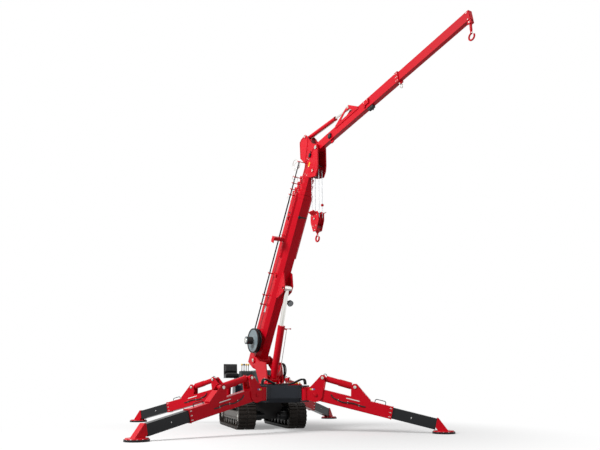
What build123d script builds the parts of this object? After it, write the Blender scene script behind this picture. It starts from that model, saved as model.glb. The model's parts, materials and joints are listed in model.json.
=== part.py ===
"""Mini crawler crane on its outriggers: telescopic boom, hydraulic jib, four swinging outriggers."""

import os
from math import atan2, cos, degrees, radians, sin

from build123d import *

os.makedirs("parts", exist_ok=True)

# Frame: millimetres, +Z up, front towards -Y, origin on the ground in the middle of the plan.
# The slewing axis stands behind the origin; sizes along y below are taken from that axis.
slewing_y = 1269.645

# Fits and clearances
pin_clearance = 0.05
slide_clearance = 0.3
side_clearance = 2.0

# Tracks and undercarriage
overall_width = 1670.0
track_width = 420.0
track_height = 610.0
track_length = 2860.0
track_centre_y = 1240.0
track_thickness = 46.0
shoe_groove = 46.0
shoe_height = 22.0
shoe_pitch = 102.0
shoe_rib = 48.0
shoe_root = 8.0
idler_radius = track_height / 2 - shoe_height - track_thickness
roller_radius = 75.0
frame_width = 300.0
frame_height = 190.0
frame_window_radius = 30.0
frame_window_pitch = 165.0
frame_window_depth = 16.0
sprocket_hub_radius = 125.0
sprocket_hub_proud = 24.0

# Chassis
chassis_half_width = 400.0
chassis_front_y = -1170.0
chassis_rear_y = 3080.0
chassis_bottom = 640.0
deck_top = 1020.0
lug_thickness = 30.0
lug_radius = 95.0
lug_lower_z = 655.0
lug_upper_z = 985.0
swivel_pin_radius = 36.0

# Outriggers, in the vertical plane of each arm: r outwards from the swivel axis, z up
front_swivel = (500.0, -1140.0)
rear_swivel = (700.0, 2150.0)
front_heading = 26.5
rear_heading = 43.0
arm_slope = 13.5
arm_width = 200.0
arm_depth = 268.0
arm_wall = 9.0
arm_pivot = (250.0, 815.0)
arm_end_r = 1955.0
arm_end_z = 420.0
inner_width = 164.0
inner_depth = 236.0
inner_wall = 9.0
inner_reach = 960.0
inner_overlap = 780.0
post_hub_radius = 86.0
cheek_thickness = 22.0
cheek_gap = arm_width + 2 * 6.0
cheek_radius = 165.0
prop_upper_pin = (420.0, 1180.0)
prop_lower_pin = (1150.0, 975.0)
prop_tube_radius = 68.0
prop_rod_radius = 34.0
prop_pin_radius = 27.0
prop_tube_length = 405.0
prop_guard_start = 378.0
prop_guard_end = 668.0
prop_guard_wall = 7.0
gusset_plate = 11.0
post_top_radius = 62.0
extend_travel = 850.0
foot_plate = 14.0
prop_eye_width = 84.0
pad_r = 3044.0
pad_radius = 245.0
pad_thickness = 42.0
arm_pin_radius = 34.0

# Turret
boom_azimuth = 14.0
ring_radius = 410.0
ring_height = 30.0
turret_base = 20.0
turret_plate = 28.0
turret_gap = 404.0

# Boom, in the vertical plane of the boom: R outwards from the slewing axis, z up
boom_foot = (-660.0, 1695.0)
boom_elevation = 59.5
boom_pivot_drop = 120.0
boom_half_width = 180.0
boom_top = 235.0
boom_knee = -75.0
boom_bottom = -200.0
boom_bottom_half_width = 105.0
boom_step = 21.0
boom_wall = 8.0
boom_mouths = (4380.0, 4480.0, 4630.0, 4780.0)
boom_tails = (-240.0, 150.0, 230.0, 310.0, 390.0)
boom_end = 5330.0
boom_pin_radius = 45.0
mouth_length = 80.0
mouth_flange = 12.0
boom_rail_start = 2750.0
boom_rail_proud = 48.0

# Cable reel
reel_along = 480.0
reel_radius = 305.0

# Lift cylinder
lift_base = (70.0, 1150.0)
lift_eye_along = 2100.0
lift_eye_drop = 400.0
lift_tube_radius = 87.0
lift_rod_radius = 52.0
lift_tube_length = 1330.0
lift_pin_radius = 38.0
lift_eye_width = 188.0
lift_bracket_gap = 194.0
lift_bracket_plate = 25.0

# Boom head
head_plate = 20.0
sheave_along = 5030.0
sheave_up = -300.0
sheave_radius = 150.0
sheave_width = 28.0
sheave_pitch = 44.0
sheave_groove = 8.0
jib_pivot_along = 5560.0
jib_pivot_up = -157.0
jib_pin_radius = 30.0
jib_cylinder_along = 5690.0
jib_cylinder_up = 483.0

# Jib, along and up from its pivot
jib_elevation = 8.6
jib_length = 3000.0
jib_reach = 4930.0
jib_half_width = 55.0
jib_half_height = 105.0
jib_axis_up = 40.0
jib_wall = 6.0
jib_inner_step = 12.0
gusset_along = 1314.0
gusset_up = 327.0
jib_tube_radius = 49.0
jib_rod_radius = 25.0
jib_tube_length = 1160.0
jib_cylinder_pin = 22.0
jib_eye_width = 56.0
jib_extension_tail = 1450.0
gusset_wall = 14.0

# Hook gear
rope_radius = 7.0
block_drop = 1015.0
fall_z = 44.0
cheek_plate = 16.0
hook_drop = 1620.0
hook_bowl_radius = 68.0
hook_section_radius = 20.0
tip_hook_drop = 270.0
tip_bowl_radius = 62.0
tip_section_radius = 16.0

# Derived headings: u points out along an arm or the boom on plan
boom_u = Vector(sin(radians(boom_azimuth)), -cos(radians(boom_azimuth)), 0)


def upright_plane(origin, u):
    """A vertical plane: local x along u, local y up, local z to the right of someone looking along u."""
    return Plane(origin=origin, x_dir=u, z_dir=Vector(u.Y, -u.X, 0))


def tilted(plane, origin, angle):
    """The same plane, its origin moved to a local point and its x axis raised by an angle."""
    x_dir = plane.x_dir * cos(radians(angle)) + plane.y_dir * sin(radians(angle))
    return Plane(origin=plane.from_local_coords(Vector(*origin, 0)), x_dir=x_dir, z_dir=plane.z_dir)


def cross_plane(plane, along, up=0.0):
    """A plane across a beam: its normal runs along the beam, local x against the plane's z, local y up."""
    origin = plane.from_local_coords(Vector(along, up, 0))
    return Plane(origin=origin, x_dir=plane.z_dir * -1, z_dir=plane.x_dir)


def slope_of(reach):
    """The angle of a vector above its plane's x axis."""
    return degrees(atan2(reach.Y, reach.X))


def lateral(plane, x, y, z=0.0):
    """The plane moved to a local point, with the same directions."""
    return Plane(
        origin=plane.from_local_coords(Vector(x, y, z)), x_dir=plane.x_dir, z_dir=plane.z_dir
    )


def finish(builder, name):
    """Label a finished piece and write it to its own file."""
    builder.part.label = name
    export_step(builder.part, f"parts/{name}.step")


ground = Plane(origin=(0, slewing_y, 0))
crane = upright_plane(ground.origin, boom_u)
boom = tilted(crane, boom_foot, boom_elevation)
jib_pivot = crane.to_local_coords(
    boom.from_local_coords(Vector(jib_pivot_along, jib_pivot_up, 0))
)
jib = tilted(crane, (jib_pivot.X, jib_pivot.Y), jib_elevation)

inner_edge = overall_width / 2 - track_width
track_x = overall_width / 2 - track_width / 2
straight = track_length - track_height


# Tracks: one loop each, with its shoes in the outline
def track_outline(radius):
    """Two straights and two half rounds, as the track runs."""
    SlotCenterToCenter(straight, 2 * radius)


belt_radius = track_height / 2 - shoe_height
shoes_per_side = int(straight // shoe_pitch)
shoes_per_end = 9
rib_height = shoe_height + shoe_root
rib_middle = track_height / 2 - rib_height / 2
for side, name in ((-1, "track_left"), (1, "track_right")):
    face = Plane(
        origin=ground.from_local_coords(Vector(side * track_x, track_centre_y, track_height / 2)),
        x_dir=(0, 1, 0),
        z_dir=(1, 0, 0),
    )
    with BuildPart() as track:
        with BuildSketch(face):
            track_outline(belt_radius)
            with GridLocations(shoe_pitch, 2 * rib_middle, shoes_per_side + 1, 2):
                Rectangle(shoe_rib, rib_height)
            for end in (-1, 1):
                for i in range(shoes_per_end):
                    turn = (i + 1) * 180 / (shoes_per_end + 1) - 90
                    spot = (
                        end * (straight / 2 + rib_middle * cos(radians(turn))),
                        rib_middle * sin(radians(turn)),
                    )
                    with Locations(Location((*spot, 0), (0, 0, end * turn))):
                        Rectangle(rib_height, shoe_rib)
            SlotCenterToCenter(straight, 2 * idler_radius, mode=Mode.SUBTRACT)
        extrude(amount=track_width / 2, both=True)
        with BuildSketch(face):
            track_outline(track_height / 2 + shoe_root)
            SlotCenterToCenter(straight, 2 * belt_radius, mode=Mode.SUBTRACT)
        extrude(amount=shoe_groove / 2, both=True, mode=Mode.SUBTRACT)
    finish(track, name)

# Running gear: side frame, idler, sprocket and rollers inside each track
for side, name in ((-1, "side_frame_left"), (1, "side_frame_right")):
    face = Plane(
        origin=ground.from_local_coords(Vector(side * track_x, track_centre_y, track_height / 2)),
        x_dir=(0, 1, 0),
        z_dir=(1, 0, 0),
    )
    roller_y = -idler_radius + roller_radius + slide_clearance
    with BuildPart() as side_frame:
        with BuildSketch(face):
            Rectangle(straight + 120, frame_height)
        extrude(amount=frame_width / 2, both=True)
        for z in (-frame_width / 2, frame_width / 2 - frame_window_depth):
            with BuildSketch(lateral(face, 0, 0, z)):
                with GridLocations(frame_window_pitch, 0, 11, 1):
                    with Locations((0, -frame_height / 2 + frame_window_radius + 16)):
                        Circle(frame_window_radius)
            extrude(amount=frame_window_depth, mode=Mode.SUBTRACT)
        with BuildSketch(face):
            with Locations((-straight / 2, 0), (straight / 2, 0)):
                Circle(idler_radius - slide_clearance)
            with GridLocations(330, 0, 6, 1):
                with Locations((0, roller_y)):
                    Circle(roller_radius)
            with Locations((-400, idler_radius - 45), (400, idler_radius - 45)):
                Circle(45 - slide_clearance)
        extrude(amount=frame_width / 2 - 50, both=True)
        with BuildSketch(face):
            with GridLocations(800, 0, 2, 1):
                Rectangle(60, 2 * idler_radius - 90)
        extrude(amount=frame_width / 2 - 90, both=True)
        with BuildSketch(face):
            with Locations((-straight / 2, 0), (straight / 2, 0)):
                Circle(sprocket_hub_radius)
        extrude(amount=frame_width / 2 + sprocket_hub_proud, both=True)
    finish(side_frame, name)

# Undercarriage: centre box and two axle beams, which reach the side frames
axle_reach = track_x - frame_width / 2
with BuildPart() as undercarriage:
    with BuildSketch(ground.offset(210)):
        with Locations((0, track_centre_y)):
            Rectangle(2 * (inner_edge - 45), 1500)
    extrude(amount=chassis_bottom - 210)
    with BuildSketch(ground.offset(track_height / 2 - 70)):
        with Locations((0, track_centre_y - 560), (0, track_centre_y + 560)):
            Rectangle(2 * axle_reach, 170)
    extrude(amount=140)
finish(undercarriage, "undercarriage")

# Chassis: deck box with the corner lugs that carry the outriggers
rear_beam_half = rear_swivel[0] - 180
with BuildPart() as chassis:
    with BuildSketch(ground.offset(chassis_bottom)):
        with Locations((0, (chassis_front_y + chassis_rear_y) / 2)):
            Rectangle(2 * chassis_half_width, chassis_rear_y - chassis_front_y)
    extrude(amount=deck_top - chassis_bottom)
    front_low = (
        chassis.edges()
        .filter_by(Axis.X)
        .group_by(Axis.Z)[0]
        .sort_by(Axis.Y)[0]
    )
    chamfer(front_low, 90)
    with BuildSketch(ground.offset(lug_lower_z)):
        with Locations((0, rear_swivel[1])):
            Rectangle(2 * rear_beam_half, 260)
    extrude(amount=deck_top - lug_lower_z)
    for sx in (-1, 1):
        for swivel, root in ((front_swivel, chassis_half_width), (rear_swivel, rear_beam_half)):
            centre = (sx * swivel[0], swivel[1])
            for z in (lug_lower_z, lug_upper_z):
                with BuildSketch(ground.offset(z)):
                    with Locations(centre):
                        Circle(lug_radius)
                    with Locations((sx * (root - 20 + swivel[0]) / 2, swivel[1])):
                        Rectangle(swivel[0] - root + 20, 2 * lug_radius)
                extrude(amount=lug_thickness)
            with BuildSketch(ground.offset(lug_lower_z)):
                with Locations(centre):
                    Circle(swivel_pin_radius)
            extrude(amount=lug_upper_z - lug_lower_z + lug_thickness)
finish(chassis, "chassis")


def outrigger(name, swivel, side, rearwards, heading):
    """One outrigger: post, arm, inner box with its pad, foot, and lift cylinder."""
    u = Vector(side * cos(radians(heading)), rearwards * sin(radians(heading)), 0)
    plane = upright_plane(ground.from_local_coords(Vector(side * swivel[0], swivel[1], 0)), u)
    post_bottom = lug_lower_z + lug_thickness + side_clearance
    post_top = lug_upper_z - side_clearance
    web_r = lug_radius + 20

    with BuildPart() as post:
        with BuildSketch(Plane(origin=plane.origin + Vector(0, 0, post_bottom), x_dir=u)):
            Circle(post_hub_radius)
            with Locations((web_r / 2 + 10, 0)):
                Rectangle(web_r + 20, cheek_gap * 0.62)
            Circle(swivel_pin_radius + pin_clearance, mode=Mode.SUBTRACT)
        extrude(amount=post_top - post_bottom)
        with BuildSketch(lateral(plane, 0, 0, -cheek_gap / 2 - cheek_thickness)):
            with Locations((web_r, (post_bottom + post_top) / 2)):
                Rectangle(40, post_top - post_bottom)
        extrude(amount=cheek_gap + 2 * cheek_thickness)
        for z in (-cheek_gap / 2 - cheek_thickness, cheek_gap / 2):
            with BuildSketch(lateral(plane, 0, 0, z)):
                with BuildLine():
                    low = Polyline(
                        (web_r, 690),
                        (web_r, 960),
                        (prop_upper_pin[0] - post_top_radius, prop_upper_pin[1] + 25),
                        (prop_upper_pin[0] - 30, prop_upper_pin[1] + post_top_radius),
                        (prop_upper_pin[0] + 30, prop_upper_pin[1] + post_top_radius),
                        (prop_upper_pin[0] + post_top_radius, prop_upper_pin[1] - 20),
                        (arm_pivot[0] + cheek_radius, arm_pivot[1]),
                    )
                    Line(low @ 0, (arm_pivot[0], arm_pivot[1] - cheek_radius))
                    RadiusArc(
                        (arm_pivot[0], arm_pivot[1] - cheek_radius), low @ 1, -cheek_radius
                    )
                make_face()
            extrude(amount=cheek_thickness)
        for centre, radius in ((arm_pivot, arm_pin_radius), (prop_upper_pin, prop_pin_radius)):
            with BuildSketch(lateral(plane, 0, 0, -cheek_gap / 2 - cheek_thickness - 16)):
                with Locations(centre):
                    Circle(radius)
            extrude(amount=cheek_gap + 2 * cheek_thickness + 32)
        for z in (-cheek_gap / 2, prop_eye_width / 2 + side_clearance):
            with BuildSketch(lateral(plane, 0, 0, z)):
                with Locations(prop_upper_pin):
                    Circle(prop_pin_radius + 16)
            extrude(amount=cheek_gap / 2 - prop_eye_width / 2 - side_clearance)
    finish(post, f"outrigger_post_{name}")

    arm = tilted(plane, (arm_end_r, arm_end_z), -arm_slope)
    pin_r, pin_z = prop_lower_pin
    gusset_outline = (
        (pin_r - 95, pin_z - 235),
        (pin_r - 88, pin_z + 20),
        (pin_r - 35, pin_z + 72),
        (pin_r + 28, pin_z + 72),
        (pin_r + 335, pin_z - 280),
        (pin_r + 330, pin_z - 330),
    )
    gusset_cover = (
        (pin_r + 140, pin_z - 56),
        (pin_r + 335, pin_z - 280),
        (pin_r + 325, pin_z - 295),
        (pin_r + 310, pin_z - 280),
        (pin_r + 126, pin_z - 69),
    )
    pivot_local = arm.to_local_coords(plane.from_local_coords(Vector(*arm_pivot, 0)))
    back = pivot_local.X - 20
    with BuildPart() as outer:
        with BuildSketch(cross_plane(arm, back + 60)):
            RectangleRounded(arm_width, arm_depth, 14)
        extrude(amount=-back - 60)
        with BuildSketch(arm):
            with Locations((pivot_local.X, pivot_local.Y)):
                Circle(100)
            with Locations((back + 120, 0)):
                Rectangle(240, arm_depth - 80)
        extrude(amount=arm_width / 2, both=True)
        with BuildSketch(arm):
            with Locations((pivot_local.X, pivot_local.Y)):
                Circle(arm_pin_radius + pin_clearance)
        extrude(amount=arm_width, both=True, mode=Mode.SUBTRACT)
        for z in (-arm_width / 2, arm_width / 2 - gusset_plate):
            with BuildSketch(lateral(plane, 0, 0, z)):
                Polygon(*gusset_outline, align=None)
            extrude(amount=gusset_plate)
        with BuildSketch(lateral(plane, 0, 0, -arm_width / 2)):
            Polygon(*gusset_cover, align=None)
        extrude(amount=arm_width)
        spacer = arm_width / 2 - prop_eye_width / 2 - side_clearance
        for z in (-arm_width / 2, arm_width / 2 - spacer):
            with BuildSketch(lateral(plane, 0, 0, z)):
                with Locations(prop_lower_pin):
                    Circle(prop_pin_radius + 16)
            extrude(amount=spacer)
        for z in (-arm_width / 2 - 10, arm_width / 2):
            with BuildSketch(lateral(plane, 0, 0, z)):
                with Locations(prop_lower_pin):
                    Circle(prop_pin_radius)
            extrude(amount=10)
        hollow = inner_overlap + extend_travel + side_clearance + 3
        with BuildSketch(cross_plane(arm, -hollow)):
            Rectangle(arm_width - 2 * arm_wall, arm_depth - 2 * arm_wall)
        extrude(amount=hollow + 20, mode=Mode.SUBTRACT)
        with BuildSketch(cross_plane(arm, -16)):
            Rectangle(arm_width + 16, arm_depth + 16)
            Rectangle(arm_width - 4, arm_depth - 4, mode=Mode.SUBTRACT)
        extrude(amount=16)
        with BuildSketch(cross_plane(arm, -70)):
            Rectangle(arm_width - 2, arm_depth - 2)
            Rectangle(
                inner_width + 2 * slide_clearance,
                inner_depth + 2 * slide_clearance,
                mode=Mode.SUBTRACT,
            )
        extrude(amount=70)
    finish(outer, f"outrigger_arm_{name}")

    foot_r = pad_r
    with BuildPart() as inner:
        with BuildSketch(cross_plane(arm, -inner_overlap)):
            Rectangle(inner_width, inner_depth)
            Rectangle(
                inner_width - 2 * inner_wall, inner_depth - 2 * inner_wall, mode=Mode.SUBTRACT
            )
        extrude(amount=inner_overlap + inner_reach)
        with BuildSketch(cross_plane(arm, inner_reach - 20)):
            Rectangle(inner_width, inner_depth)
        extrude(amount=20)
        with BuildSketch(Plane(origin=plane.from_local_coords(Vector(foot_r, 0, 0)))):
            Circle(pad_radius)
        extrude(amount=pad_thickness)
    finish(inner, f"outrigger_inner_{name}")

    end = plane.to_local_coords(arm.from_local_coords(Vector(inner_reach, 0, 0)))
    with BuildPart() as foot:
        sole_z = pad_thickness + 22
        foot_outline = (
            (end.X - 25, end.Y + 135),
            (end.X + 60, end.Y + 128),
            (foot_r + 95, sole_z),
            (foot_r - 120, sole_z),
            (end.X - 10, pad_thickness + 75),
        )
        for z in (-inner_width / 2 - 12, inner_width / 2 + 12 - foot_plate):
            with BuildSketch(lateral(plane, 0, 0, z)):
                Polygon(*foot_outline, align=None)
            extrude(amount=foot_plate)
        with BuildSketch(plane):
            Polygon(
                (end.X + 60, end.Y + 128),
                (foot_r + 95, sole_z),
                (foot_r + 95 - 22, sole_z),
                (end.X + 38, end.Y + 112),
                align=None,
            )
        extrude(amount=inner_width / 2 + 12, both=True)
        with BuildSketch(plane):
            Polygon(*foot_outline, align=None)
        extrude(amount=inner_width / 2 - 34, both=True)
        with BuildSketch(cross_plane(arm, -10)):
            Rectangle(3 * inner_width, 3 * inner_depth)
        extrude(amount=inner_reach + 10.2, mode=Mode.SUBTRACT)
        with BuildSketch(Plane(origin=plane.from_local_coords(Vector(foot_r, pad_thickness, 0)))):
            Circle(pad_radius - 14)
        extrude(amount=sole_z - pad_thickness, taper=30)
    finish(foot, f"outrigger_foot_{name}")

    reach = Vector(*prop_lower_pin) - Vector(*prop_upper_pin)
    prop = tilted(plane, prop_upper_pin, slope_of(reach))
    with BuildPart() as tube:
        tube_start = prop_pin_radius + 50
        with BuildSketch(cross_plane(prop, tube_start)):
            Circle(prop_tube_radius)
        extrude(amount=prop_tube_length - tube_start)
        with BuildSketch(prop):
            Circle(prop_pin_radius + 13)
            with Locations((tube_start / 2 + 5, 0)):
                Rectangle(tube_start, 72)
        extrude(amount=prop_eye_width / 2, both=True)
        with BuildSketch(prop):
            Circle(prop_pin_radius + pin_clearance)
        extrude(amount=prop_eye_width, both=True, mode=Mode.SUBTRACT)
        with BuildSketch(cross_plane(prop, tube_start + 10)):
            Circle(prop_rod_radius + slide_clearance)
        extrude(amount=prop_tube_length, mode=Mode.SUBTRACT)
    finish(tube, f"outrigger_tube_{name}")

    with BuildPart() as rod:
        with BuildSketch(cross_plane(prop, prop_pin_radius + 62 + 262)):
            Circle(prop_rod_radius)
        extrude(amount=reach.length - (prop_pin_radius + 62 + 262))
        with BuildSketch(lateral(prop, reach.length, 0)):
            Circle(prop_pin_radius + 24)
        extrude(amount=prop_eye_width / 2, both=True)
        guard_inner = prop_tube_radius + side_clearance
        with BuildSketch(cross_plane(prop, prop_guard_start)):
            Circle(guard_inner + prop_guard_wall)
            Circle(guard_inner, mode=Mode.SUBTRACT)
        extrude(amount=prop_guard_end - prop_guard_start)
        with BuildSketch(cross_plane(prop, prop_guard_end - 12)):
            Circle(guard_inner + 1)
        extrude(amount=12)
        with BuildSketch(lateral(prop, reach.length, 0)):
            Circle(prop_pin_radius + pin_clearance)
        extrude(amount=prop_eye_width, both=True, mode=Mode.SUBTRACT)
    finish(rod, f"outrigger_rod_{name}")


outrigger("front_left", front_swivel, -1, -1, front_heading)
outrigger("front_right", front_swivel, 1, -1, front_heading)
outrigger("rear_left", rear_swivel, -1, 1, rear_heading)
outrigger("rear_right", rear_swivel, 1, 1, rear_heading)

# Engine cover, console, seat and levers on the rear deck
cover_height = 395.0
console_height = 380.0
lever_height = 170.0
lever_spots = (-340.0, -280.0, -220.0, -160.0)
with BuildPart() as engine_cover:
    with BuildSketch(ground.offset(deck_top)):
        with Locations((235, 2130)):
            Rectangle(640, 1560)
    extrude(amount=cover_height)
    fillet(engine_cover.edges().filter_by(Axis.Z), 60)
    fillet(engine_cover.edges().group_by(Axis.Z)[-1], 40)
    with BuildSketch(ground.offset(deck_top + cover_height - 6)):
        with GridLocations(0, 70, 1, 9):
            with Locations((235, 2130)):
                RectangleRounded(300, 26, 12)
    extrude(amount=10, mode=Mode.SUBTRACT)
finish(engine_cover, "engine_cover")

with BuildPart() as console:
    with BuildSketch(
        Plane(
            origin=ground.from_local_coords(Vector(-390, 0, deck_top)),
            x_dir=(0, 1, 0),
            z_dir=(1, 0, 0),
        )
    ):
        with Locations((2060, 0)):
            Polygon(
                (-180, 0),
                (180, 0),
                (180, console_height - 90),
                (120, console_height),
                (-180, console_height),
                align=None,
            )
    extrude(amount=300)
    fillet(console.edges().filter_by(Axis.X).group_by(Axis.Z)[-1], 30)
finish(console, "console")

with BuildPart() as levers:
    for x in lever_spots:
        with BuildSketch(ground.offset(deck_top + console_height)):
            with Locations((x, 2060)):
                Circle(9)
        extrude(amount=lever_height)
        with Locations(
            ground.from_local_coords(Vector(x, 2060, deck_top + console_height + lever_height))
        ):
            Sphere(26)
finish(levers, "levers")

seat_height = 220.0
with BuildPart() as seat_base:
    with BuildSketch(ground.offset(deck_top)):
        with Locations((-300, 2760)):
            Rectangle(190, 300)
    extrude(amount=seat_height - 20)
    with BuildSketch(ground.offset(deck_top + seat_height - 20)):
        with Locations((-440, 2760)):
            Rectangle(500, 380)
    extrude(amount=20)
finish(seat_base, "seat_base")

seat_side = Plane(
    origin=ground.from_local_coords(Vector(-690, 2560, deck_top + seat_height)),
    x_dir=(0, 1, 0),
    z_dir=(1, 0, 0),
)
with BuildPart() as seat:
    with BuildSketch(seat_side):
        with BuildLine():
            pan = Polyline((0, 20), (0, 75), (250, 70), (320, 130), (375, 345))
            lip = Polyline((445, 350), (395, 90), (350, 0), (20, 0))
            RadiusArc(pan @ 1, lip @ 0, 36)
            Line(lip @ 1, pan @ 0)
        make_face()
    extrude(amount=380)
    fillet(seat.edges().filter_by(Axis.X).group_by(Axis.Z)[-1], 8)
finish(seat, "seat")

# Turret: slewing ring, base plate and two side plates that carry the boom foot
pivot = crane.to_local_coords(boom.from_local_coords(Vector(0, -boom_pivot_drop, 0)))
ring_top = deck_top + ring_height
with BuildPart() as slew_ring:
    with BuildSketch(ground.offset(deck_top)):
        Circle(ring_radius - 20)
    extrude(amount=ring_height)
finish(slew_ring, "slew_ring")

with BuildPart() as turret:
    with BuildSketch(ground.offset(ring_top)):
        Circle(ring_radius)
    extrude(amount=turret_base)
    for z in (-turret_gap / 2 - turret_plate, turret_gap / 2):
        with BuildSketch(lateral(crane, 0, 0, z)):
            with BuildLine():
                outline = Polyline(
                    (pivot.X - 96, pivot.Y - 60),
                    (-440, 1400),
                    (-255, ring_top + 60),
                    (-230, ring_top),
                    (190, ring_top),
                    (165, 1200),
                    (95, 1535),
                    (60, 1562),
                    (-250, 1600),
                    (pivot.X + 70, pivot.Y + 89),
                )
                ThreePointArc(outline @ 1, (pivot.X - 60, pivot.Y + 96), outline @ 0)
            make_face()
        extrude(amount=turret_plate)
    for z in (-turret_gap / 2 - turret_plate - 22, turret_gap / 2 + turret_plate):
        with BuildSketch(lateral(crane, 0, 0, z)):
            with Locations((pivot.X, pivot.Y)):
                Circle(boom_pin_radius + 35)
        extrude(amount=22)
    for z in (-lift_bracket_gap / 2 - lift_bracket_plate, lift_bracket_gap / 2):
        with BuildSketch(lateral(crane, 0, 0, z)):
            with Locations(lift_base):
                Circle(lift_pin_radius + 38)
            Polygon(
                (lift_base[0] - 150, ring_top),
                (lift_base[0] - 70, lift_base[1] + 30),
                (lift_base[0] + 70, lift_base[1] + 30),
                (lift_base[0] + 150, ring_top),
                align=None,
            )
        extrude(amount=lift_bracket_plate)
    with BuildSketch(lateral(crane, 0, 0, -turret_gap / 2 - turret_plate - 20)):
        with Locations((pivot.X, pivot.Y)):
            Circle(boom_pin_radius)
    extrude(amount=turret_gap + 2 * turret_plate + 40)
    with BuildSketch(lateral(crane, 0, 0, -turret_gap / 2)):
        with Locations(lift_base):
            Circle(lift_pin_radius)
    extrude(amount=turret_gap)
    with BuildSketch(lateral(crane, 0, 0, -turret_gap / 2)):
        with Locations((-240, ring_top + 115)):
            Rectangle(30, 190)
    extrude(amount=turret_gap)
finish(turret, "turret")


# Boom: five nested hexagonal boxes
def boom_profile(along, inset):
    """The boom's section at a place along it: flat top, upright sides, sloping lower facets."""
    with BuildSketch(cross_plane(boom, along)) as section:
        Polygon(
            (-boom_half_width, boom_top),
            (-boom_half_width, boom_knee),
            (-boom_bottom_half_width, boom_bottom),
            (boom_bottom_half_width, boom_bottom),
            (boom_half_width, boom_knee),
            (boom_half_width, boom_top),
            align=None,
        )
        if inset:
            offset(amount=-inset, kind=Kind.INTERSECTION, mode=Mode.REPLACE)
    return section.sketch


def boom_box(tail, mouth, inset, wall):
    """A length of boom box, hollow by its wall."""
    extrude(boom_profile(tail, inset), amount=mouth - tail)
    extrude(boom_profile(tail - 1, inset + wall), amount=mouth - tail + 2, mode=Mode.SUBTRACT)


def boom_mouth(mouth, inset):
    """The thick collar at a box's mouth, which guides the next box out."""
    next_out = inset + boom_step - slide_clearance
    extrude(boom_profile(mouth - mouth_length, inset - mouth_flange), amount=mouth_length)
    extrude(
        boom_profile(mouth - mouth_length - 1, next_out),
        amount=mouth_length + 2,
        mode=Mode.SUBTRACT,
    )


with BuildPart() as boom_base:
    boom_box(boom_tails[0], boom_mouths[0], 0, boom_wall)
    boom_mouth(boom_mouths[0], 0)
    extrude(boom_profile(boom_tails[0], 0), amount=60)
    for side in (-1, 1):
        with BuildSketch(cross_plane(boom, boom_rail_start)):
            Polygon(
                (side * (boom_half_width - 1), boom_knee + 95),
                (side * (boom_half_width + boom_rail_proud), boom_knee + 70),
                (side * (boom_half_width + boom_rail_proud), boom_knee + 30),
                (side * (boom_half_width - 1), boom_knee + 2),
                align=None,
            )
        extrude(amount=boom_mouths[0] - boom_rail_start)
    with BuildSketch(boom):
        with Locations((0, -boom_pivot_drop)):
            Circle(boom_pin_radius + 55)
    extrude(amount=boom_half_width + 18, both=True)
    with BuildSketch(boom):
        with Locations((0, -boom_pivot_drop)):
            Circle(boom_pin_radius + pin_clearance)
    extrude(amount=2 * boom_half_width, both=True, mode=Mode.SUBTRACT)
    for z in (-lift_bracket_gap / 2 - lift_bracket_plate, lift_bracket_gap / 2):
        with BuildSketch(lateral(boom, 0, 0, z)):
            with BuildLine():
                Polyline(
                    (lift_eye_along - 330, boom_bottom + 120),
                    (lift_eye_along + 330, boom_bottom + 120),
                    (lift_eye_along + 330, boom_bottom - 60),
                    (lift_eye_along + 80, -lift_eye_drop - 55),
                    (lift_eye_along - 80, -lift_eye_drop - 55),
                    (lift_eye_along - 330, boom_bottom - 60),
                    close=True,
                )
            make_face()
            with Locations((lift_eye_along, -lift_eye_drop)):
                Circle(lift_pin_radius, mode=Mode.SUBTRACT)
        extrude(amount=lift_bracket_plate)
    extrude(boom_profile(lift_eye_along - 400, boom_wall), amount=800, mode=Mode.SUBTRACT)
finish(boom_base, "boom_base")

for i in (1, 2, 3):
    with BuildPart() as boom_section:
        boom_box(boom_tails[i], boom_mouths[i], i * boom_step, boom_wall)
        boom_mouth(boom_mouths[i], i * boom_step)
    finish(boom_section, f"boom_section_{i + 1}")

head_half = boom_half_width - 4 * boom_step
horn = (jib_cylinder_along, jib_cylinder_up)
head_outline = (
    (4830, 60),
    (5090, 145),
    (5150, 410),
    (horn[0] - 190, horn[1] + 190),
    (horn[0] - 80, horn[1] + 150),
    (horn[0] + 50, horn[1] + 25),
    (horn[0] + 40, horn[1] - 70),
    (jib_pivot_along + 50, jib_pivot_up + 210),
    (jib_pivot_along + 85, jib_pivot_up),
    (jib_pivot_along + 20, jib_pivot_up - 85),
    (sheave_along + 190, sheave_up - 160),
    (sheave_along + 60, sheave_up - 205),
    (sheave_along - 90, sheave_up - 195),
    (4860, -290),
    (4830, -150),
)
with BuildPart() as boom_head:
    boom_box(boom_tails[4], boom_end, 4 * boom_step, boom_wall)
    with BuildSketch(lateral(boom, 0, 0, -head_half)):
        with BuildLine():
            back = Polyline(*head_outline[1:4])
            offset(amount=14, side=Side.RIGHT)
        make_face()
    extrude(amount=2 * head_half)
    for z in (-head_half - head_plate, head_half):
        with BuildSketch(lateral(boom, 0, 0, z)):
            Polygon(*head_outline, align=None)
            with Locations((jib_pivot_along, jib_pivot_up)):
                Circle(jib_pin_radius + pin_clearance, mode=Mode.SUBTRACT)
        extrude(amount=head_plate)
    for z in (-head_half - head_plate - 14, head_half + head_plate):
        with BuildSketch(lateral(boom, 0, 0, z)):
            with Locations((sheave_along, sheave_up), horn):
                Circle(46)
        extrude(amount=14)
    for spot, radius in (
        ((sheave_along, sheave_up), 30),
        (horn, jib_cylinder_pin),
    ):
        with BuildSketch(lateral(boom, 0, 0, -head_half)):
            with Locations(spot):
                Circle(radius)
        extrude(amount=2 * head_half)
finish(boom_head, "boom_head")


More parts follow.
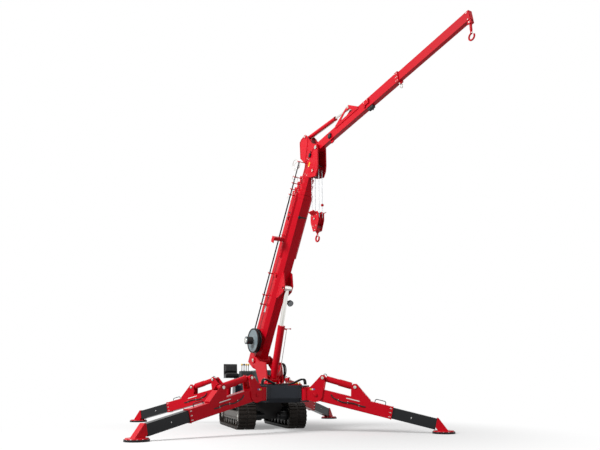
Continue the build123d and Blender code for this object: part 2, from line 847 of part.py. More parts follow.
def sheave_profile(plane, bore):
    """Half the section of a grooved rope sheave; its plane's z is the axle and x the radius."""
    half = sheave_width / 2
    with BuildSketch(Plane(origin=plane.origin, x_dir=plane.x_dir, z_dir=plane.y_dir * -1)) as cut:
        Polygon(
            (bore, -half),
            (bore + 24, -half),
            (bore + 30, -half / 2),
            (sheave_radius - 34, -half / 2),
            (sheave_radius - 22, -half),
            (sheave_radius, -half),
            (sheave_radius, half),
            (sheave_radius - 22, half),
            (sheave_radius - 34, half / 2),
            (bore + 30, half / 2),
            (bore + 24, half),
            (bore, half),
            align=None,
        )
        with Locations((sheave_radius, 0)):
            Circle(sheave_groove, mode=Mode.SUBTRACT)
    return cut.sketch


with BuildPart() as sheaves:
    for z in (-sheave_pitch, 0, sheave_pitch):
        seat_of_sheave = lateral(boom, sheave_along, sheave_up, z)
        revolve(
            sheave_profile(seat_of_sheave, 30 + pin_clearance),
            axis=Axis(seat_of_sheave.origin, seat_of_sheave.z_dir),
        )
    with BuildSketch(lateral(boom, sheave_along, sheave_up, -sheave_pitch - sheave_width / 2)):
        Circle(48)
        Circle(30 + pin_clearance, mode=Mode.SUBTRACT)
    extrude(amount=2 * sheave_pitch + sheave_width)
finish(sheaves, "head_sheaves")

# Lift cylinder
eye = crane.to_local_coords(boom.from_local_coords(Vector(lift_eye_along, -lift_eye_drop, 0)))
lift_reach = Vector(eye.X - lift_base[0], eye.Y - lift_base[1])
lift = tilted(crane, lift_base, slope_of(lift_reach))
with BuildPart() as lift_tube:
    with BuildSketch(cross_plane(lift, 60)):
        Circle(lift_tube_radius)
    extrude(amount=lift_tube_length - 60)
    with BuildSketch(lift):
        Circle(lift_pin_radius + 34)
    extrude(amount=lift_eye_width / 2, both=True)
    with BuildSketch(lift):
        Circle(lift_pin_radius + pin_clearance)
    extrude(amount=lift_eye_width, both=True, mode=Mode.SUBTRACT)
    with BuildSketch(cross_plane(lift, 120)):
        Circle(lift_rod_radius + slide_clearance)
    extrude(amount=lift_tube_length, mode=Mode.SUBTRACT)
finish(lift_tube, "lift_tube")

lift_rod_start = 950
with BuildPart() as lift_rod:
    with BuildSketch(cross_plane(lift, lift_rod_start)):
        Circle(lift_rod_radius)
    extrude(amount=lift_reach.length - lift_rod_start)
    with BuildSketch(lateral(lift, lift_reach.length, 0)):
        Circle(lift_pin_radius + 30)
    extrude(amount=lift_eye_width / 2, both=True)
    with BuildSketch(lateral(lift, lift_reach.length, 0)):
        Circle(lift_pin_radius + pin_clearance)
    extrude(amount=lift_eye_width, both=True, mode=Mode.SUBTRACT)
finish(lift_rod, "lift_rod")

# Cable reel on the boom foot, on the flank that faces the operator
reel_axis = lateral(boom, reel_along, 0, boom_half_width)
reel_section = (
    (0, 1),
    (60, 1),
    (60, 68),
    (reel_radius - 34, 68),
    (reel_radius - 24, 56),
    (reel_radius, 56),
    (reel_radius, 78),
    (reel_radius - 20, 80),
    (150, 80),
    (150, 132),
    (reel_radius - 20, 132),
    (reel_radius, 136),
    (reel_radius, 162),
    (reel_radius - 24, 162),
    (reel_radius - 34, 150),
    (122, 150),
    (108, 168),
    (92, 176),
    (92, 330),
    (80, 344),
    (0, 344),
)
with BuildPart() as reel:
    with BuildSketch(
        Plane(origin=reel_axis.origin, x_dir=reel_axis.x_dir, z_dir=reel_axis.y_dir * -1)
    ):
        Polygon(*reel_section, align=None)
    revolve(axis=Axis(reel_axis.origin, reel_axis.z_dir))
finish(reel, "cable_reel")


# Jib: box, extension, hydraulic cylinder
jib_boom = lateral(jib, 0, jib_axis_up)
with BuildPart() as jib_box:
    with BuildSketch(cross_plane(jib_boom, -60)):
        Rectangle(2 * jib_half_width, 2 * jib_half_height)
    extrude(amount=jib_length + 60)
    with BuildSketch(cross_plane(jib_boom, 100)):
        Rectangle(2 * (jib_half_width - jib_wall), 2 * (jib_half_height - jib_wall))
    extrude(amount=jib_length, mode=Mode.SUBTRACT)
    with BuildSketch(cross_plane(jib_boom, jib_length - 90)):
        Rectangle(2 * (jib_half_width + 8), 2 * (jib_half_height + 8))
        Rectangle(
            2 * (jib_half_width - jib_inner_step + slide_clearance),
            2 * (jib_half_height - jib_inner_step + slide_clearance),
            mode=Mode.SUBTRACT,
        )
    extrude(amount=90)
    with BuildSketch(jib):
        Circle(jib_pin_radius)
    extrude(amount=head_half + head_plate + 14, both=True)
    with BuildSketch(jib):
        Circle(70)
    extrude(amount=head_half - side_clearance, both=True)
    for z in (-jib_half_width - gusset_wall, jib_half_width):
        with BuildSketch(lateral(jib, 0, 0, z)):
            with BuildLine():
                Polyline(
                    (gusset_along - 540, jib_axis_up + 50),
                    (gusset_along - 540, jib_axis_up + jib_half_height),
                    (gusset_along - 45, gusset_up + 32),
                    (gusset_along + 30, gusset_up + 42),
                    (gusset_along + 340, jib_axis_up + jib_half_height),
                    (gusset_along + 340, jib_axis_up + 50),
                    close=True,
                )
            make_face()
            Polygon(
                (gusset_along - 330, jib_axis_up + jib_half_height + 14),
                (gusset_along - 75, gusset_up - 30),
                (gusset_along - 42, gusset_up - 58),
                (gusset_along + 42, gusset_up - 58),
                (gusset_along + 150, jib_axis_up + jib_half_height + 14),
                align=None,
                mode=Mode.SUBTRACT,
            )
        extrude(amount=gusset_wall)
    eye_side = jib_eye_width / 2 + side_clearance
    for z in (-jib_half_width, eye_side):
        with BuildSketch(lateral(jib, gusset_along, gusset_up, z)):
            Circle(jib_cylinder_pin + 14)
        extrude(amount=jib_half_width - eye_side)
finish(jib_box, "jib")

with BuildPart() as jib_extension:
    with BuildSketch(cross_plane(jib_boom, jib_extension_tail)):
        Rectangle(2 * (jib_half_width - jib_inner_step), 2 * (jib_half_height - jib_inner_step))
        Rectangle(
            2 * (jib_half_width - jib_inner_step - jib_wall),
            2 * (jib_half_height - jib_inner_step - jib_wall),
            mode=Mode.SUBTRACT,
        )
    extrude(amount=jib_reach - jib_extension_tail)
    with BuildSketch(cross_plane(jib_boom, jib_reach - 12)):
        Rectangle(2 * (jib_half_width - jib_inner_step), 2 * (jib_half_height - jib_inner_step))
    extrude(amount=12)
    tip_along = jib_reach - 40
    tip_up = jib_axis_up - jib_half_height - 30
    for z in (-34, 20):
        with BuildSketch(lateral(jib, 0, 0, z)):
            with Locations((tip_along, tip_up + 25)):
                Rectangle(90, 110)
        extrude(amount=14)
    with BuildSketch(lateral(jib, 0, 0, -34)):
        with Locations((tip_along, tip_up)):
            Circle(14)
    extrude(amount=68)
finish(jib_extension, "jib_extension")

base = crane.to_local_coords(boom.from_local_coords(Vector(jib_cylinder_along, jib_cylinder_up, 0)))
top = crane.to_local_coords(jib.from_local_coords(Vector(gusset_along, gusset_up, 0)))
jib_cylinder_reach = Vector(top.X - base.X, top.Y - base.Y)
jib_cylinder = tilted(crane, (base.X, base.Y), slope_of(jib_cylinder_reach))
with BuildPart() as jib_tube:
    with BuildSketch(cross_plane(jib_cylinder, 40)):
        Circle(jib_tube_radius)
    extrude(amount=jib_tube_length - 40)
    with BuildSketch(jib_cylinder):
        Circle(jib_cylinder_pin + 22)
    extrude(amount=jib_eye_width / 2, both=True)
    with BuildSketch(jib_cylinder):
        Circle(jib_cylinder_pin + pin_clearance)
    extrude(amount=jib_eye_width, both=True, mode=Mode.SUBTRACT)
    with BuildSketch(cross_plane(jib_cylinder, 80)):
        Circle(jib_rod_radius + slide_clearance)
    extrude(amount=jib_tube_length, mode=Mode.SUBTRACT)
finish(jib_tube, "jib_cylinder_tube")

with BuildPart() as jib_rod:
    with BuildSketch(cross_plane(jib_cylinder, 700)):
        Circle(jib_rod_radius)
    extrude(amount=jib_cylinder_reach.length - 700)
    with BuildSketch(lateral(jib_cylinder, jib_cylinder_reach.length, 0)):
        Circle(jib_cylinder_pin + 20)
    extrude(amount=jib_eye_width / 2, both=True)
    with BuildSketch(lateral(jib_cylinder, jib_cylinder_reach.length, 0)):
        Circle(jib_cylinder_pin + pin_clearance)
    extrude(amount=jib_eye_width, both=True, mode=Mode.SUBTRACT)
finish(jib_rod, "jib_cylinder_rod")

# Hook gear: rope falls, block and hook hang plumb below the head sheaves
sheave = crane.to_local_coords(boom.from_local_coords(Vector(sheave_along, sheave_up, 0)))
plumb = lateral(crane, sheave.X, sheave.Y)
block_sheave_drop = block_drop + 150
with BuildPart() as falls:
    for x in (-sheave_radius, sheave_radius):
        for z in (-fall_z, fall_z):
            with BuildSketch(
                Plane(origin=plumb.from_local_coords(Vector(x, 0, z)), z_dir=(0, 0, -1))
            ):
                Circle(rope_radius)
            extrude(amount=block_sheave_drop)
finish(falls, "rope_falls")

block_half = sheave_pitch + sheave_width / 2 + 4
crosshead_drop = block_drop + 405
with BuildPart() as block:
    for z in (-block_half - cheek_plate, block_half):
        with BuildSketch(lateral(plumb, 0, 0, z)):
            with BuildLine():
                cheek = Polyline(
                    (-110, -block_drop + 15),
                    (-172, -block_drop - 60),
                    (-172, -block_drop - 210),
                    (-70, -crosshead_drop - 35),
                    (70, -crosshead_drop - 35),
                    (172, -block_drop - 210),
                    (172, -block_drop - 60),
                    (110, -block_drop + 15),
                )
                Line(cheek @ 1, cheek @ 0)
            make_face()
        extrude(amount=cheek_plate)
    for side in (-1, 1):
        edge = side * (block_half + cheek_plate)
        with BuildSketch(
            Plane(origin=plumb.origin, x_dir=plumb.z_dir, z_dir=plumb.x_dir * -1)
        ):
            Polygon(
                (edge - side * 2, -block_drop - 60),
                (edge + side * 95, -block_drop + 8),
                (edge + side * 95, -block_drop + 24),
                (edge - side * 2, -block_drop - 30),
                align=None,
            )
        extrude(amount=110, both=True)
    for z in (-sheave_pitch, 0, sheave_pitch):
        seat_of_sheave = lateral(plumb, 0, -block_sheave_drop, z)
        revolve(
            sheave_profile(seat_of_sheave, 20),
            axis=Axis(seat_of_sheave.origin, seat_of_sheave.z_dir),
        )
    with BuildSketch(lateral(plumb, 0, -block_sheave_drop, -block_half - cheek_plate - 14)):
        Circle(28)
    extrude(amount=2 * (block_half + cheek_plate + 14))
    with BuildSketch(lateral(plumb, 0, -crosshead_drop, -block_half)):
        Rectangle(92, 66)
    extrude(amount=2 * block_half)
    with BuildSketch(
        Plane(origin=plumb.from_local_coords(Vector(0, -crosshead_drop + 40, 0)), z_dir=(0, 0, -1))
    ):
        Circle(hook_section_radius + pin_clearance)
    extrude(amount=80, mode=Mode.SUBTRACT)
finish(block, "hook_block")


def hook_bowl(plane, centre, bowl, section, arc):
    """A forged hook: a round bar bent about the bowl's centre, ending in a rounded point."""
    around = lateral(plane, *centre)
    start = lateral(around, 0, bowl)
    with BuildPart(mode=Mode.PRIVATE) as bent:
        with BuildSketch(Plane(origin=start.origin, z_dir=start.x_dir * -1)):
            Circle(section)
        revolve(axis=Axis(around.origin, around.z_dir), revolution_arc=arc)
        point = (
            -bowl * sin(radians(arc)),
            bowl * cos(radians(arc)),
        )
        with Locations(around.from_local_coords(Vector(*point, 0))):
            Sphere(section)
    return bent.part


hook_arc = 285
with BuildPart() as hook:
    with BuildSketch(
        Plane(origin=plumb.from_local_coords(Vector(0, -crosshead_drop + 45, 0)), z_dir=(0, 0, -1))
    ):
        Circle(hook_section_radius)
    extrude(amount=hook_drop - crosshead_drop + 45 - hook_bowl_radius)
    with BuildSketch(
        Plane(origin=plumb.from_local_coords(Vector(0, -crosshead_drop - 36, 0)), z_dir=(0, 0, -1))
    ):
        Circle(38)
    extrude(amount=30)
    add(hook_bowl(plumb, (0, -hook_drop), hook_bowl_radius, hook_section_radius, hook_arc))
finish(hook, "main_hook")

tip = crane.to_local_coords(jib.from_local_coords(Vector(tip_along, tip_up, 0)))
hang = lateral(crane, tip.X, tip.Y)
with BuildPart() as tip_hook:
    with BuildSketch(hang):
        Circle(34)
        with Locations((0, -85)):
            Rectangle(34, 130)
        Circle(14 + pin_clearance, mode=Mode.SUBTRACT)
    extrude(amount=17, both=True)
    with BuildSketch(
        Plane(origin=hang.from_local_coords(Vector(0, -70, 0)), z_dir=(0, 0, -1))
    ):
        Circle(tip_section_radius + 4)
    extrude(amount=tip_hook_drop - 70 - tip_bowl_radius)
    add(hook_bowl(hang, (0, -tip_hook_drop), tip_bowl_radius, tip_section_radius, hook_arc))
finish(tip_hook, "searcher_hook")
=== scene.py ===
"""Mini crawler crane on its outriggers, with its finishes, hoses, rigging and fittings."""

import json
from math import cos, pi, radians, sin

import bmesh
import bpy
from mathutils import Matrix, Vector


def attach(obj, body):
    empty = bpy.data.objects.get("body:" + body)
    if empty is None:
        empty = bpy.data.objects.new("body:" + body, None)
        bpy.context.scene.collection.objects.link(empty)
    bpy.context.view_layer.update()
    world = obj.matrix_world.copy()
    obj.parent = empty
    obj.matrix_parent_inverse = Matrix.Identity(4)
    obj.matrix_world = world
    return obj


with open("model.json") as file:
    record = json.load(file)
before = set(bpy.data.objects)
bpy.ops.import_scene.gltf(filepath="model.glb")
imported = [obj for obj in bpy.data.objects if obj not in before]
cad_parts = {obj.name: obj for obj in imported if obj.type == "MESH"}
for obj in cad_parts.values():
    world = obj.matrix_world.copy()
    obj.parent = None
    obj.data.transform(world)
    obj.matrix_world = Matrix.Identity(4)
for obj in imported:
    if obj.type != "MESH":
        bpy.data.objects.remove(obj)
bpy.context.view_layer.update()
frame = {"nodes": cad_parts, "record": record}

# The camera stands low in front of the machine, a little to its left,
# and looks up along the boom, as the photograph does.
camera_data = bpy.data.cameras.new("camera")
camera_data.sensor_width = 36.0
camera_data.lens = 36.9
camera_data.clip_start = 0.1
camera_data.clip_end = 400.0
camera = bpy.data.objects.new("camera", camera_data)
camera_spot = (-3.752, -13.793, 1.009)
camera_yaw, camera_pitch, camera_roll = radians(-16.55), radians(14.64), radians(-0.10)
camera.matrix_world = (
    Matrix.Translation(camera_spot)
    @ Matrix.Rotation(camera_yaw, 4, "Z")
    @ Matrix.Rotation(pi / 2 + camera_pitch, 4, "X")
    @ Matrix.Rotation(camera_roll, 4, "Z")
)
bpy.context.scene.collection.objects.link(camera)
bpy.context.scene.camera = camera


# Undercarriage: welded side frames in dark paint, a centre box whose grey paint is darkened near
# to black, partly its own dark paint and partly painted shade between the tracks, and steel track
# shoes whose edges are worn bare under dry earth. Every finish ages alike, by drifting colour,
# grain, worn edges and dust on faces that look up, so one node group serves them all.
def node(tree, kind, **settings):
    """A shader node with some of its settings made."""
    made = tree.nodes.new(kind)
    for key, value in settings.items():
        setattr(made, key, value)
    return made


def wire(tree, source, target):
    """Joins an output to an input."""
    tree.links.new(source, target)


def arithmetic(tree, operation, first, second):
    """A Math node on sockets or numbers; gives its output."""
    made = node(tree, "ShaderNodeMath", operation=operation)
    for target, value in zip(made.inputs, (first, second)):
        if isinstance(value, float):
            target.default_value = value
        else:
            wire(tree, value, target)
    return made.outputs[0]


def blended(tree, factor, first, second):
    """A colour between two, by a factor."""
    made = node(tree, "ShaderNodeMix", data_type="RGBA")
    made.clamp_factor = True
    for place, value in (("Factor", factor), ("A", first), ("B", second)):
        target = [s for s in made.inputs if s.name == place and s.enabled][0]
        if isinstance(value, tuple):
            target.default_value = value
        else:
            wire(tree, value, target)
    return [s for s in made.outputs if s.enabled][0]


surface = bpy.data.node_groups.new("surface wear", "ShaderNodeTree")
for label, value in (
    ("Color", (0.5, 0.5, 0.5, 1.0)),
    ("Edge Color", (0.5, 0.5, 0.5, 1.0)),
    ("Dust Color", (0.45, 0.42, 0.37, 1.0)),
    ("Drift", 0.1),
    ("Edge Wear", 0.3),
    ("Dust", 0.1),
    ("Roughness", 0.3),
    ("Grain Size", 220.0),
    ("Grain Height", 0.05),
    ("Edge Radius", 0.004),
):
    kind = "NodeSocketColor" if isinstance(value, tuple) else "NodeSocketFloat"
    socket = surface.interface.new_socket(name=label, in_out="INPUT", socket_type=kind)
    socket.default_value = value
for label, kind in (
    ("Color", "NodeSocketColor"),
    ("Roughness", "NodeSocketFloat"),
    ("Normal", "NodeSocketVector"),
):
    surface.interface.new_socket(name=label, in_out="OUTPUT", socket_type=kind)
NOISE_MIDDLE = 0.5
group_in = node(surface, "NodeGroupInput")
group_out = node(surface, "NodeGroupOutput")
place = node(surface, "ShaderNodeTexCoord")
geometry = node(surface, "ShaderNodeNewGeometry")
cloud = node(surface, "ShaderNodeTexNoise")
cloud.inputs["Scale"].default_value = 2.3
cloud.inputs["Detail"].default_value = 5.0
speck = node(surface, "ShaderNodeTexNoise")
speck.inputs["Scale"].default_value = 38.0
speck.inputs["Detail"].default_value = 6.0
grain = node(surface, "ShaderNodeTexNoise")
grain.inputs["Detail"].default_value = 2.0
for texture in (cloud, speck, grain):
    wire(surface, place.outputs["Object"], texture.inputs["Vector"])
wire(surface, group_in.outputs["Grain Size"], grain.inputs["Scale"])
rounded = node(surface, "ShaderNodeBevel", samples=4)
wire(surface, group_in.outputs["Edge Radius"], rounded.inputs["Radius"])

# Worn edges: where the softened normal leaves the face's own, broken up by specks.
WORN_GAIN = 7.0
SPECK_LEVEL = 0.42
SPECK_GAIN = 6.0
turn = node(surface, "ShaderNodeVectorMath", operation="DOT_PRODUCT")
wire(surface, rounded.outputs["Normal"], turn.inputs[0])
wire(surface, geometry.outputs["Normal"], turn.inputs[1])
edge = arithmetic(surface, "SUBTRACT", 1.0, turn.outputs["Value"])
edge = arithmetic(surface, "MULTIPLY", edge, WORN_GAIN)
edge_patch = arithmetic(surface, "SUBTRACT", speck.outputs["Fac"], SPECK_LEVEL)
edge_patch = arithmetic(surface, "MULTIPLY", edge_patch, SPECK_GAIN)
edge = arithmetic(surface, "MULTIPLY", edge, edge_patch)
edge = arithmetic(surface, "MINIMUM", arithmetic(surface, "MAXIMUM", edge, 0.0), 1.0)
edge = arithmetic(surface, "MULTIPLY", edge, group_in.outputs["Edge Wear"])

# Dust: most on faces that look up, gathered in clouds and specks.
SHELTERED_SHARE = 0.2
MOST_DUST = 0.85
facing = node(surface, "ShaderNodeSeparateXYZ")
wire(surface, geometry.outputs["Normal"], facing.inputs[0])
skyward = arithmetic(surface, "MAXIMUM", facing.outputs["Z"], 0.0)
skyward = arithmetic(surface, "MULTIPLY", skyward, 1.0 - SHELTERED_SHARE)
skyward = arithmetic(surface, "ADD", skyward, SHELTERED_SHARE)
dust = arithmetic(surface, "MULTIPLY", skyward, cloud.outputs["Fac"])
dust_specks = arithmetic(surface, "ADD", speck.outputs["Fac"], NOISE_MIDDLE)
dust = arithmetic(surface, "MULTIPLY", dust, dust_specks)
dust = arithmetic(surface, "MULTIPLY", dust, group_in.outputs["Dust"])
dust = arithmetic(surface, "MINIMUM", dust, MOST_DUST)

# Colour: it drifts with the clouds, then takes the worn edges and the dust.
shade = arithmetic(surface, "SUBTRACT", cloud.outputs["Fac"], NOISE_MIDDLE)
shade = arithmetic(surface, "MULTIPLY", shade, group_in.outputs["Drift"])
shade = arithmetic(surface, "ADD", shade, 1.0)
drifted = node(surface, "ShaderNodeHueSaturation")
wire(surface, group_in.outputs["Color"], drifted.inputs["Color"])
wire(surface, shade, drifted.inputs["Value"])
painted = blended(surface, edge, drifted.outputs["Color"], group_in.outputs["Edge Color"])
dusted = blended(surface, dust, painted, group_in.outputs["Dust Color"])
wire(surface, dusted, group_out.inputs["Color"])

# Gloss and grain: specks and dust dull the coat, and a fine orange peel dents it.
SPECK_DULLING = 0.12
DUST_DULLING = 0.45
rough = arithmetic(surface, "SUBTRACT", speck.outputs["Fac"], NOISE_MIDDLE)
rough = arithmetic(surface, "MULTIPLY", rough, SPECK_DULLING)
rough = arithmetic(surface, "ADD", rough, group_in.outputs["Roughness"])
rough = arithmetic(surface, "ADD", rough, arithmetic(surface, "MULTIPLY", dust, DUST_DULLING))
wire(surface, rough, group_out.inputs["Roughness"])
peel = node(surface, "ShaderNodeBump")
peel.inputs["Distance"].default_value = 0.002
wire(surface, group_in.outputs["Grain Height"], peel.inputs["Strength"])
wire(surface, grain.outputs["Fac"], peel.inputs["Height"])
wire(surface, rounded.outputs["Normal"], peel.inputs["Normal"])
wire(surface, peel.outputs["Normal"], group_out.inputs["Normal"])


def finish_of(name, colour, coat=0.0, metallic=0.0, specular=0.22, **wear):
    """A material from the surface group: colour, gloss and its wear."""
    material = bpy.data.materials.new(name)
    material.use_nodes = True
    tree = material.node_tree
    shader = tree.nodes["Principled BSDF"]
    group = node(tree, "ShaderNodeGroup", node_tree=surface)
    group.inputs["Color"].default_value = (*colour, 1.0)
    group.inputs["Edge Color"].default_value = (*[0.75 * c + 0.05 for c in colour], 1.0)
    for key, value in wear.items():
        label = key.replace("_", " ").title()
        group.inputs[label].default_value = (*value, 1.0) if isinstance(value, tuple) else value
    wire(tree, group.outputs["Color"], shader.inputs["Base Color"])
    wire(tree, group.outputs["Roughness"], shader.inputs["Roughness"])
    wire(tree, group.outputs["Normal"], shader.inputs["Normal"])
    shader.inputs["Metallic"].default_value = metallic
    shader.inputs["Specular IOR Level"].default_value = specular
    shader.inputs["Coat Weight"].default_value = coat
    shader.inputs["Coat Roughness"].default_value = 0.06
    return material


slot_of = {row["node"]: row["material_slot"] for row in frame["record"]["subparts"]}


def dress(slot, material):
    """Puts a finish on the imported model's nodes of one slot."""
    for name, part in frame["nodes"].items():
        if slot_of[name] == slot:
            part.data.materials.clear()
            part.data.materials.append(material)


# The grey paint is darkened near to black: partly the undercarriage's own paint, partly painted
# shade between the tracks.
grey_paint = finish_of(
    "grey_paint", (0.035, 0.035, 0.036), roughness=0.5, drift=0.35, edge_wear=0.5, dust=0.2
)
frame_paint = finish_of(
    "frame_paint", (0.085, 0.078, 0.070), roughness=0.45, drift=0.4, edge_wear=0.6, dust=0.15
)
track_steel = finish_of(
    "track_steel", (0.016, 0.013, 0.011), metallic=0.2, roughness=0.55, drift=0.6, edge_wear=0.9,
    edge_color=(0.15, 0.13, 0.11), dust=0.1, dust_color=(0.14, 0.11, 0.09), grain_size=90.0,
    grain_height=0.3,
)
dress("grey_paint", grey_paint)
dress("frame_paint", frame_paint)
dress("track_shoe", track_steel)


# Hubs, drive motors and frame covers: zinc-plated screws ring the hubs' outer faces, a black
# motor stands inside each hub with its own ring of screws, and a black steel plate closes the
# inner side of each frame.
def rod(bm, start, stop, radius, segments=14, taper=1.0):
    """A round bar between two points."""
    span = stop - start
    turn = span.to_track_quat("Z", "Y").to_matrix().to_4x4()
    bmesh.ops.create_cone(
        bm,
        cap_ends=True,
        segments=segments,
        radius1=radius,
        radius2=radius * taper,
        depth=span.length,
        matrix=Matrix.Translation((start + stop) / 2) @ turn,
    )


def slab(bm, centre, axes, size, bevel=0.002):
    """A block with softened edges, turned to three directions."""
    turn = Matrix(axes).transposed().to_4x4()
    block = bmesh.ops.create_cube(
        bm, size=1.0, matrix=Matrix.Translation(centre) @ turn @ Matrix.Diagonal((*size, 1.0))
    )
    edges = list({edge for corner in block["verts"] for edge in corner.link_edges})
    bmesh.ops.bevel(
        bm, geom=edges, offset=bevel, offset_type="OFFSET", affect="EDGES", segments=1, profile=0.5,
        material=-1,
    )


def screw(bm, spot, way, across=0.012, height=0.010):
    """A hexagon head on its washer, standing on a face."""
    way = way.normalized()
    rod(bm, spot - way * 0.002, spot + way * 0.003, across * 1.35, 18)
    rod(bm, spot, spot + way * height, across, 6)


def screw_ring(bm, centre, way, first, radius, count, across=0.012, height=0.010):
    """Screws evenly round a centre, the first one towards a given direction."""
    second = way.cross(first)
    for i in range(count):
        turn = i * 2 * pi / count
        screw(bm, centre + (first * cos(turn) + second * sin(turn)) * radius, way, across, height)


def finished(name, bm, material, body):
    """Turns a bmesh into a piece at the origin that rides on a body."""
    bmesh.ops.recalc_face_normals(bm, faces=bm.faces)
    mesh = bpy.data.meshes.new(name)
    bm.to_mesh(mesh)
    bm.free()
    for face in mesh.polygons:
        face.use_smooth = True
    mesh.set_sharp_from_angle(angle=radians(32.0))
    mesh.materials.append(material)
    piece = bpy.data.objects.new(name, mesh)
    bpy.context.scene.collection.objects.link(piece)
    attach(piece, body)


# The slewing axis meets the ground here; the undercarriage is measured from it.
SLEW = Vector((0.0, 1.269645, 0.0))
SIDEWAYS = Vector((1.0, 0.0, 0.0))
FORWARD = Vector((0.0, -1.0, 0.0))
UP = Vector((0.0, 0.0, 1.0))
HUB_FACE = 0.799
HUB_ENDS = (0.115, 2.365)
HUB_HEIGHT = 0.305
HUB_SCREW_CIRCLE = 0.095
MOTOR_FACE = 0.230
MOTOR_SCREW_CIRCLE = 0.088
zinc = finish_of(
    "zinc", (0.55, 0.54, 0.50), metallic=0.9, roughness=0.38, drift=0.2, edge_wear=0.3, dust=0.1
)
black_paint = finish_of(
    "black_paint", (0.009, 0.010, 0.012), coat=0.05, roughness=0.34, drift=0.3, edge_wear=0.3,
    dust=0.05,
)
bm = bmesh.new()
for side in (-1, 1):
    outwards = SIDEWAYS * side
    for y in HUB_ENDS:
        hub = SLEW + Vector((side * HUB_FACE, y, HUB_HEIGHT))
        rod(bm, hub, hub + outwards * 0.012, 0.045, 24)
        screw_ring(bm, hub, outwards, UP, HUB_SCREW_CIRCLE, 8)
finished("hub_screws", bm, zinc, "base")
bm = bmesh.new()
for side in (-1, 1):
    outwards = SIDEWAYS * side
    for y in HUB_ENDS:
        motor = SLEW + Vector((side * MOTOR_FACE, y, HUB_HEIGHT))
        rod(bm, motor, motor + outwards * 0.200, 0.105, 32)
        rod(bm, motor - outwards * 0.070, motor, 0.070, 24)
        screw_ring(bm, motor, -outwards, UP, MOTOR_SCREW_CIRCLE, 8, 0.009, 0.008)
finished("drive_motors", bm, black_paint, "base")
bm = bmesh.new()
for side in (-1, 1):
    plate = SLEW + Vector((side * 0.490, 1.240, 0.455))
    slab(bm, plate, (-FORWARD, UP, SIDEWAYS), (1.900, 0.110, 0.008))
finished("frame_covers", bm, black_paint, "base")


# Front of the deck box: a folded steel cover plate in the box's own blue-black paint, held by
# six screws that are painted with it.
FRONT_FACE = -1.170
DECK_AXES = (SIDEWAYS, FORWARD, UP)
navy_paint = finish_of(
    "navy_paint", (0.006, 0.010, 0.018), coat=0.04, roughness=0.32, drift=0.3, edge_wear=0.3,
    dust=0.03,
)
dress("navy_paint", navy_paint)
bm = bmesh.new()
plate = SLEW + Vector((0.0, FRONT_FACE - 0.003, 0.865))
slab(bm, plate, DECK_AXES, (0.66, 0.008, 0.25), 0.003)
finished("front_cover", bm, navy_paint, "base")
bm = bmesh.new()
for x in (-0.30, 0.0, 0.30):
    for z in (0.77, 0.96):
        screw(bm, SLEW + Vector((x, FRONT_FACE - 0.007, z)), FORWARD, 0.009, 0.007)
finished("front_cover_screws", bm, navy_paint, "base")


# Hydraulic hoses on the deck: black rubber, two to a side. They come from under the turret,
# arch over the deck's front corner and go down through it beside the front post.
def hose(name, points, radius, material, body):
    """A round hose or pipe along a smooth line through space."""
    curve = bpy.data.curves.new(name, "CURVE")
    curve.dimensions = "3D"
    curve.bevel_depth = radius
    curve.bevel_resolution = 3
    curve.use_fill_caps = True
    curve.resolution_u = 8
    line = curve.splines.new("NURBS")
    line.points.add(len(points) - 1)
    for point, spot in zip(line.points, points):
        point.co = (*spot, 1.0)
    line.order_u = 3
    line.use_endpoint_u = True
    curve.materials.append(material)
    piece = bpy.data.objects.new(name, curve)
    bpy.context.scene.collection.objects.link(piece)
    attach(piece, body)


rubber = finish_of(
    "hose_rubber", (0.012, 0.012, 0.013), roughness=0.5, drift=0.2, edge_wear=0.0, dust=0.12,
    grain_height=0.1,
)
DECK_TOP = 1.020
DECK_HOSE = (
    (0.12, -0.62, 0.022),
    (0.16, -0.86, 0.024),
    (0.22, -1.04, 0.030),
    (0.34, -1.10, 0.085),
    (0.44, -1.12, 0.135),
    (0.52, -1.14, 0.125),
    (0.52, -1.14, 0.012),
)


def on_deck(x, y, rise):
    """A point above the deck, measured from the slewing axis."""
    return SLEW + Vector((x, y, DECK_TOP + rise))


for side, word in ((-1, "left"), (1, "right")):
    for i, shift in enumerate((0.0, 0.035)):
        route = [on_deck(side * (x - shift), y, rise) for x, y, rise in DECK_HOSE]
        hose(f"deck_hose_{word}_{i}", route, 0.018, rubber, "base")


# Outriggers: red welded arms with black inner boxes. Keeper plates cover the pins, hoses run
# along the arms under plated clips, and each arm has a lifting handle, a printed strip and
# screws round its pad; the posts carry blank printed labels.
red_paint = finish_of(
    "red_paint", (0.58, 0.0015, 0.012), specular=0.14, roughness=0.32, drift=0.2, edge_wear=0.3,
    dust=0.015,
)
yellow_paint = finish_of(
    "yellow_paint", (0.78, 0.47, 0.02), roughness=0.4, drift=0.1, edge_wear=0.2, dust=0.06
)
white_paint = finish_of(
    "white_paint", (0.82, 0.82, 0.80), roughness=0.4, drift=0.06, edge_wear=0.2, dust=0.1
)
blue_paint = finish_of(
    "blue_paint", (0.02, 0.10, 0.36), roughness=0.4, drift=0.1, edge_wear=0.2, dust=0.1
)
dress("red_paint", red_paint)
dress("black_paint", black_paint)


def pin_cap(bm, spot, way, radius, across=0.012, height=0.009):
    """A round keeper plate over a pin's end, with one screw in its middle."""
    rod(bm, spot, spot + way * 0.008, radius, 28)
    screw(bm, spot + way * 0.007, way, across, height)


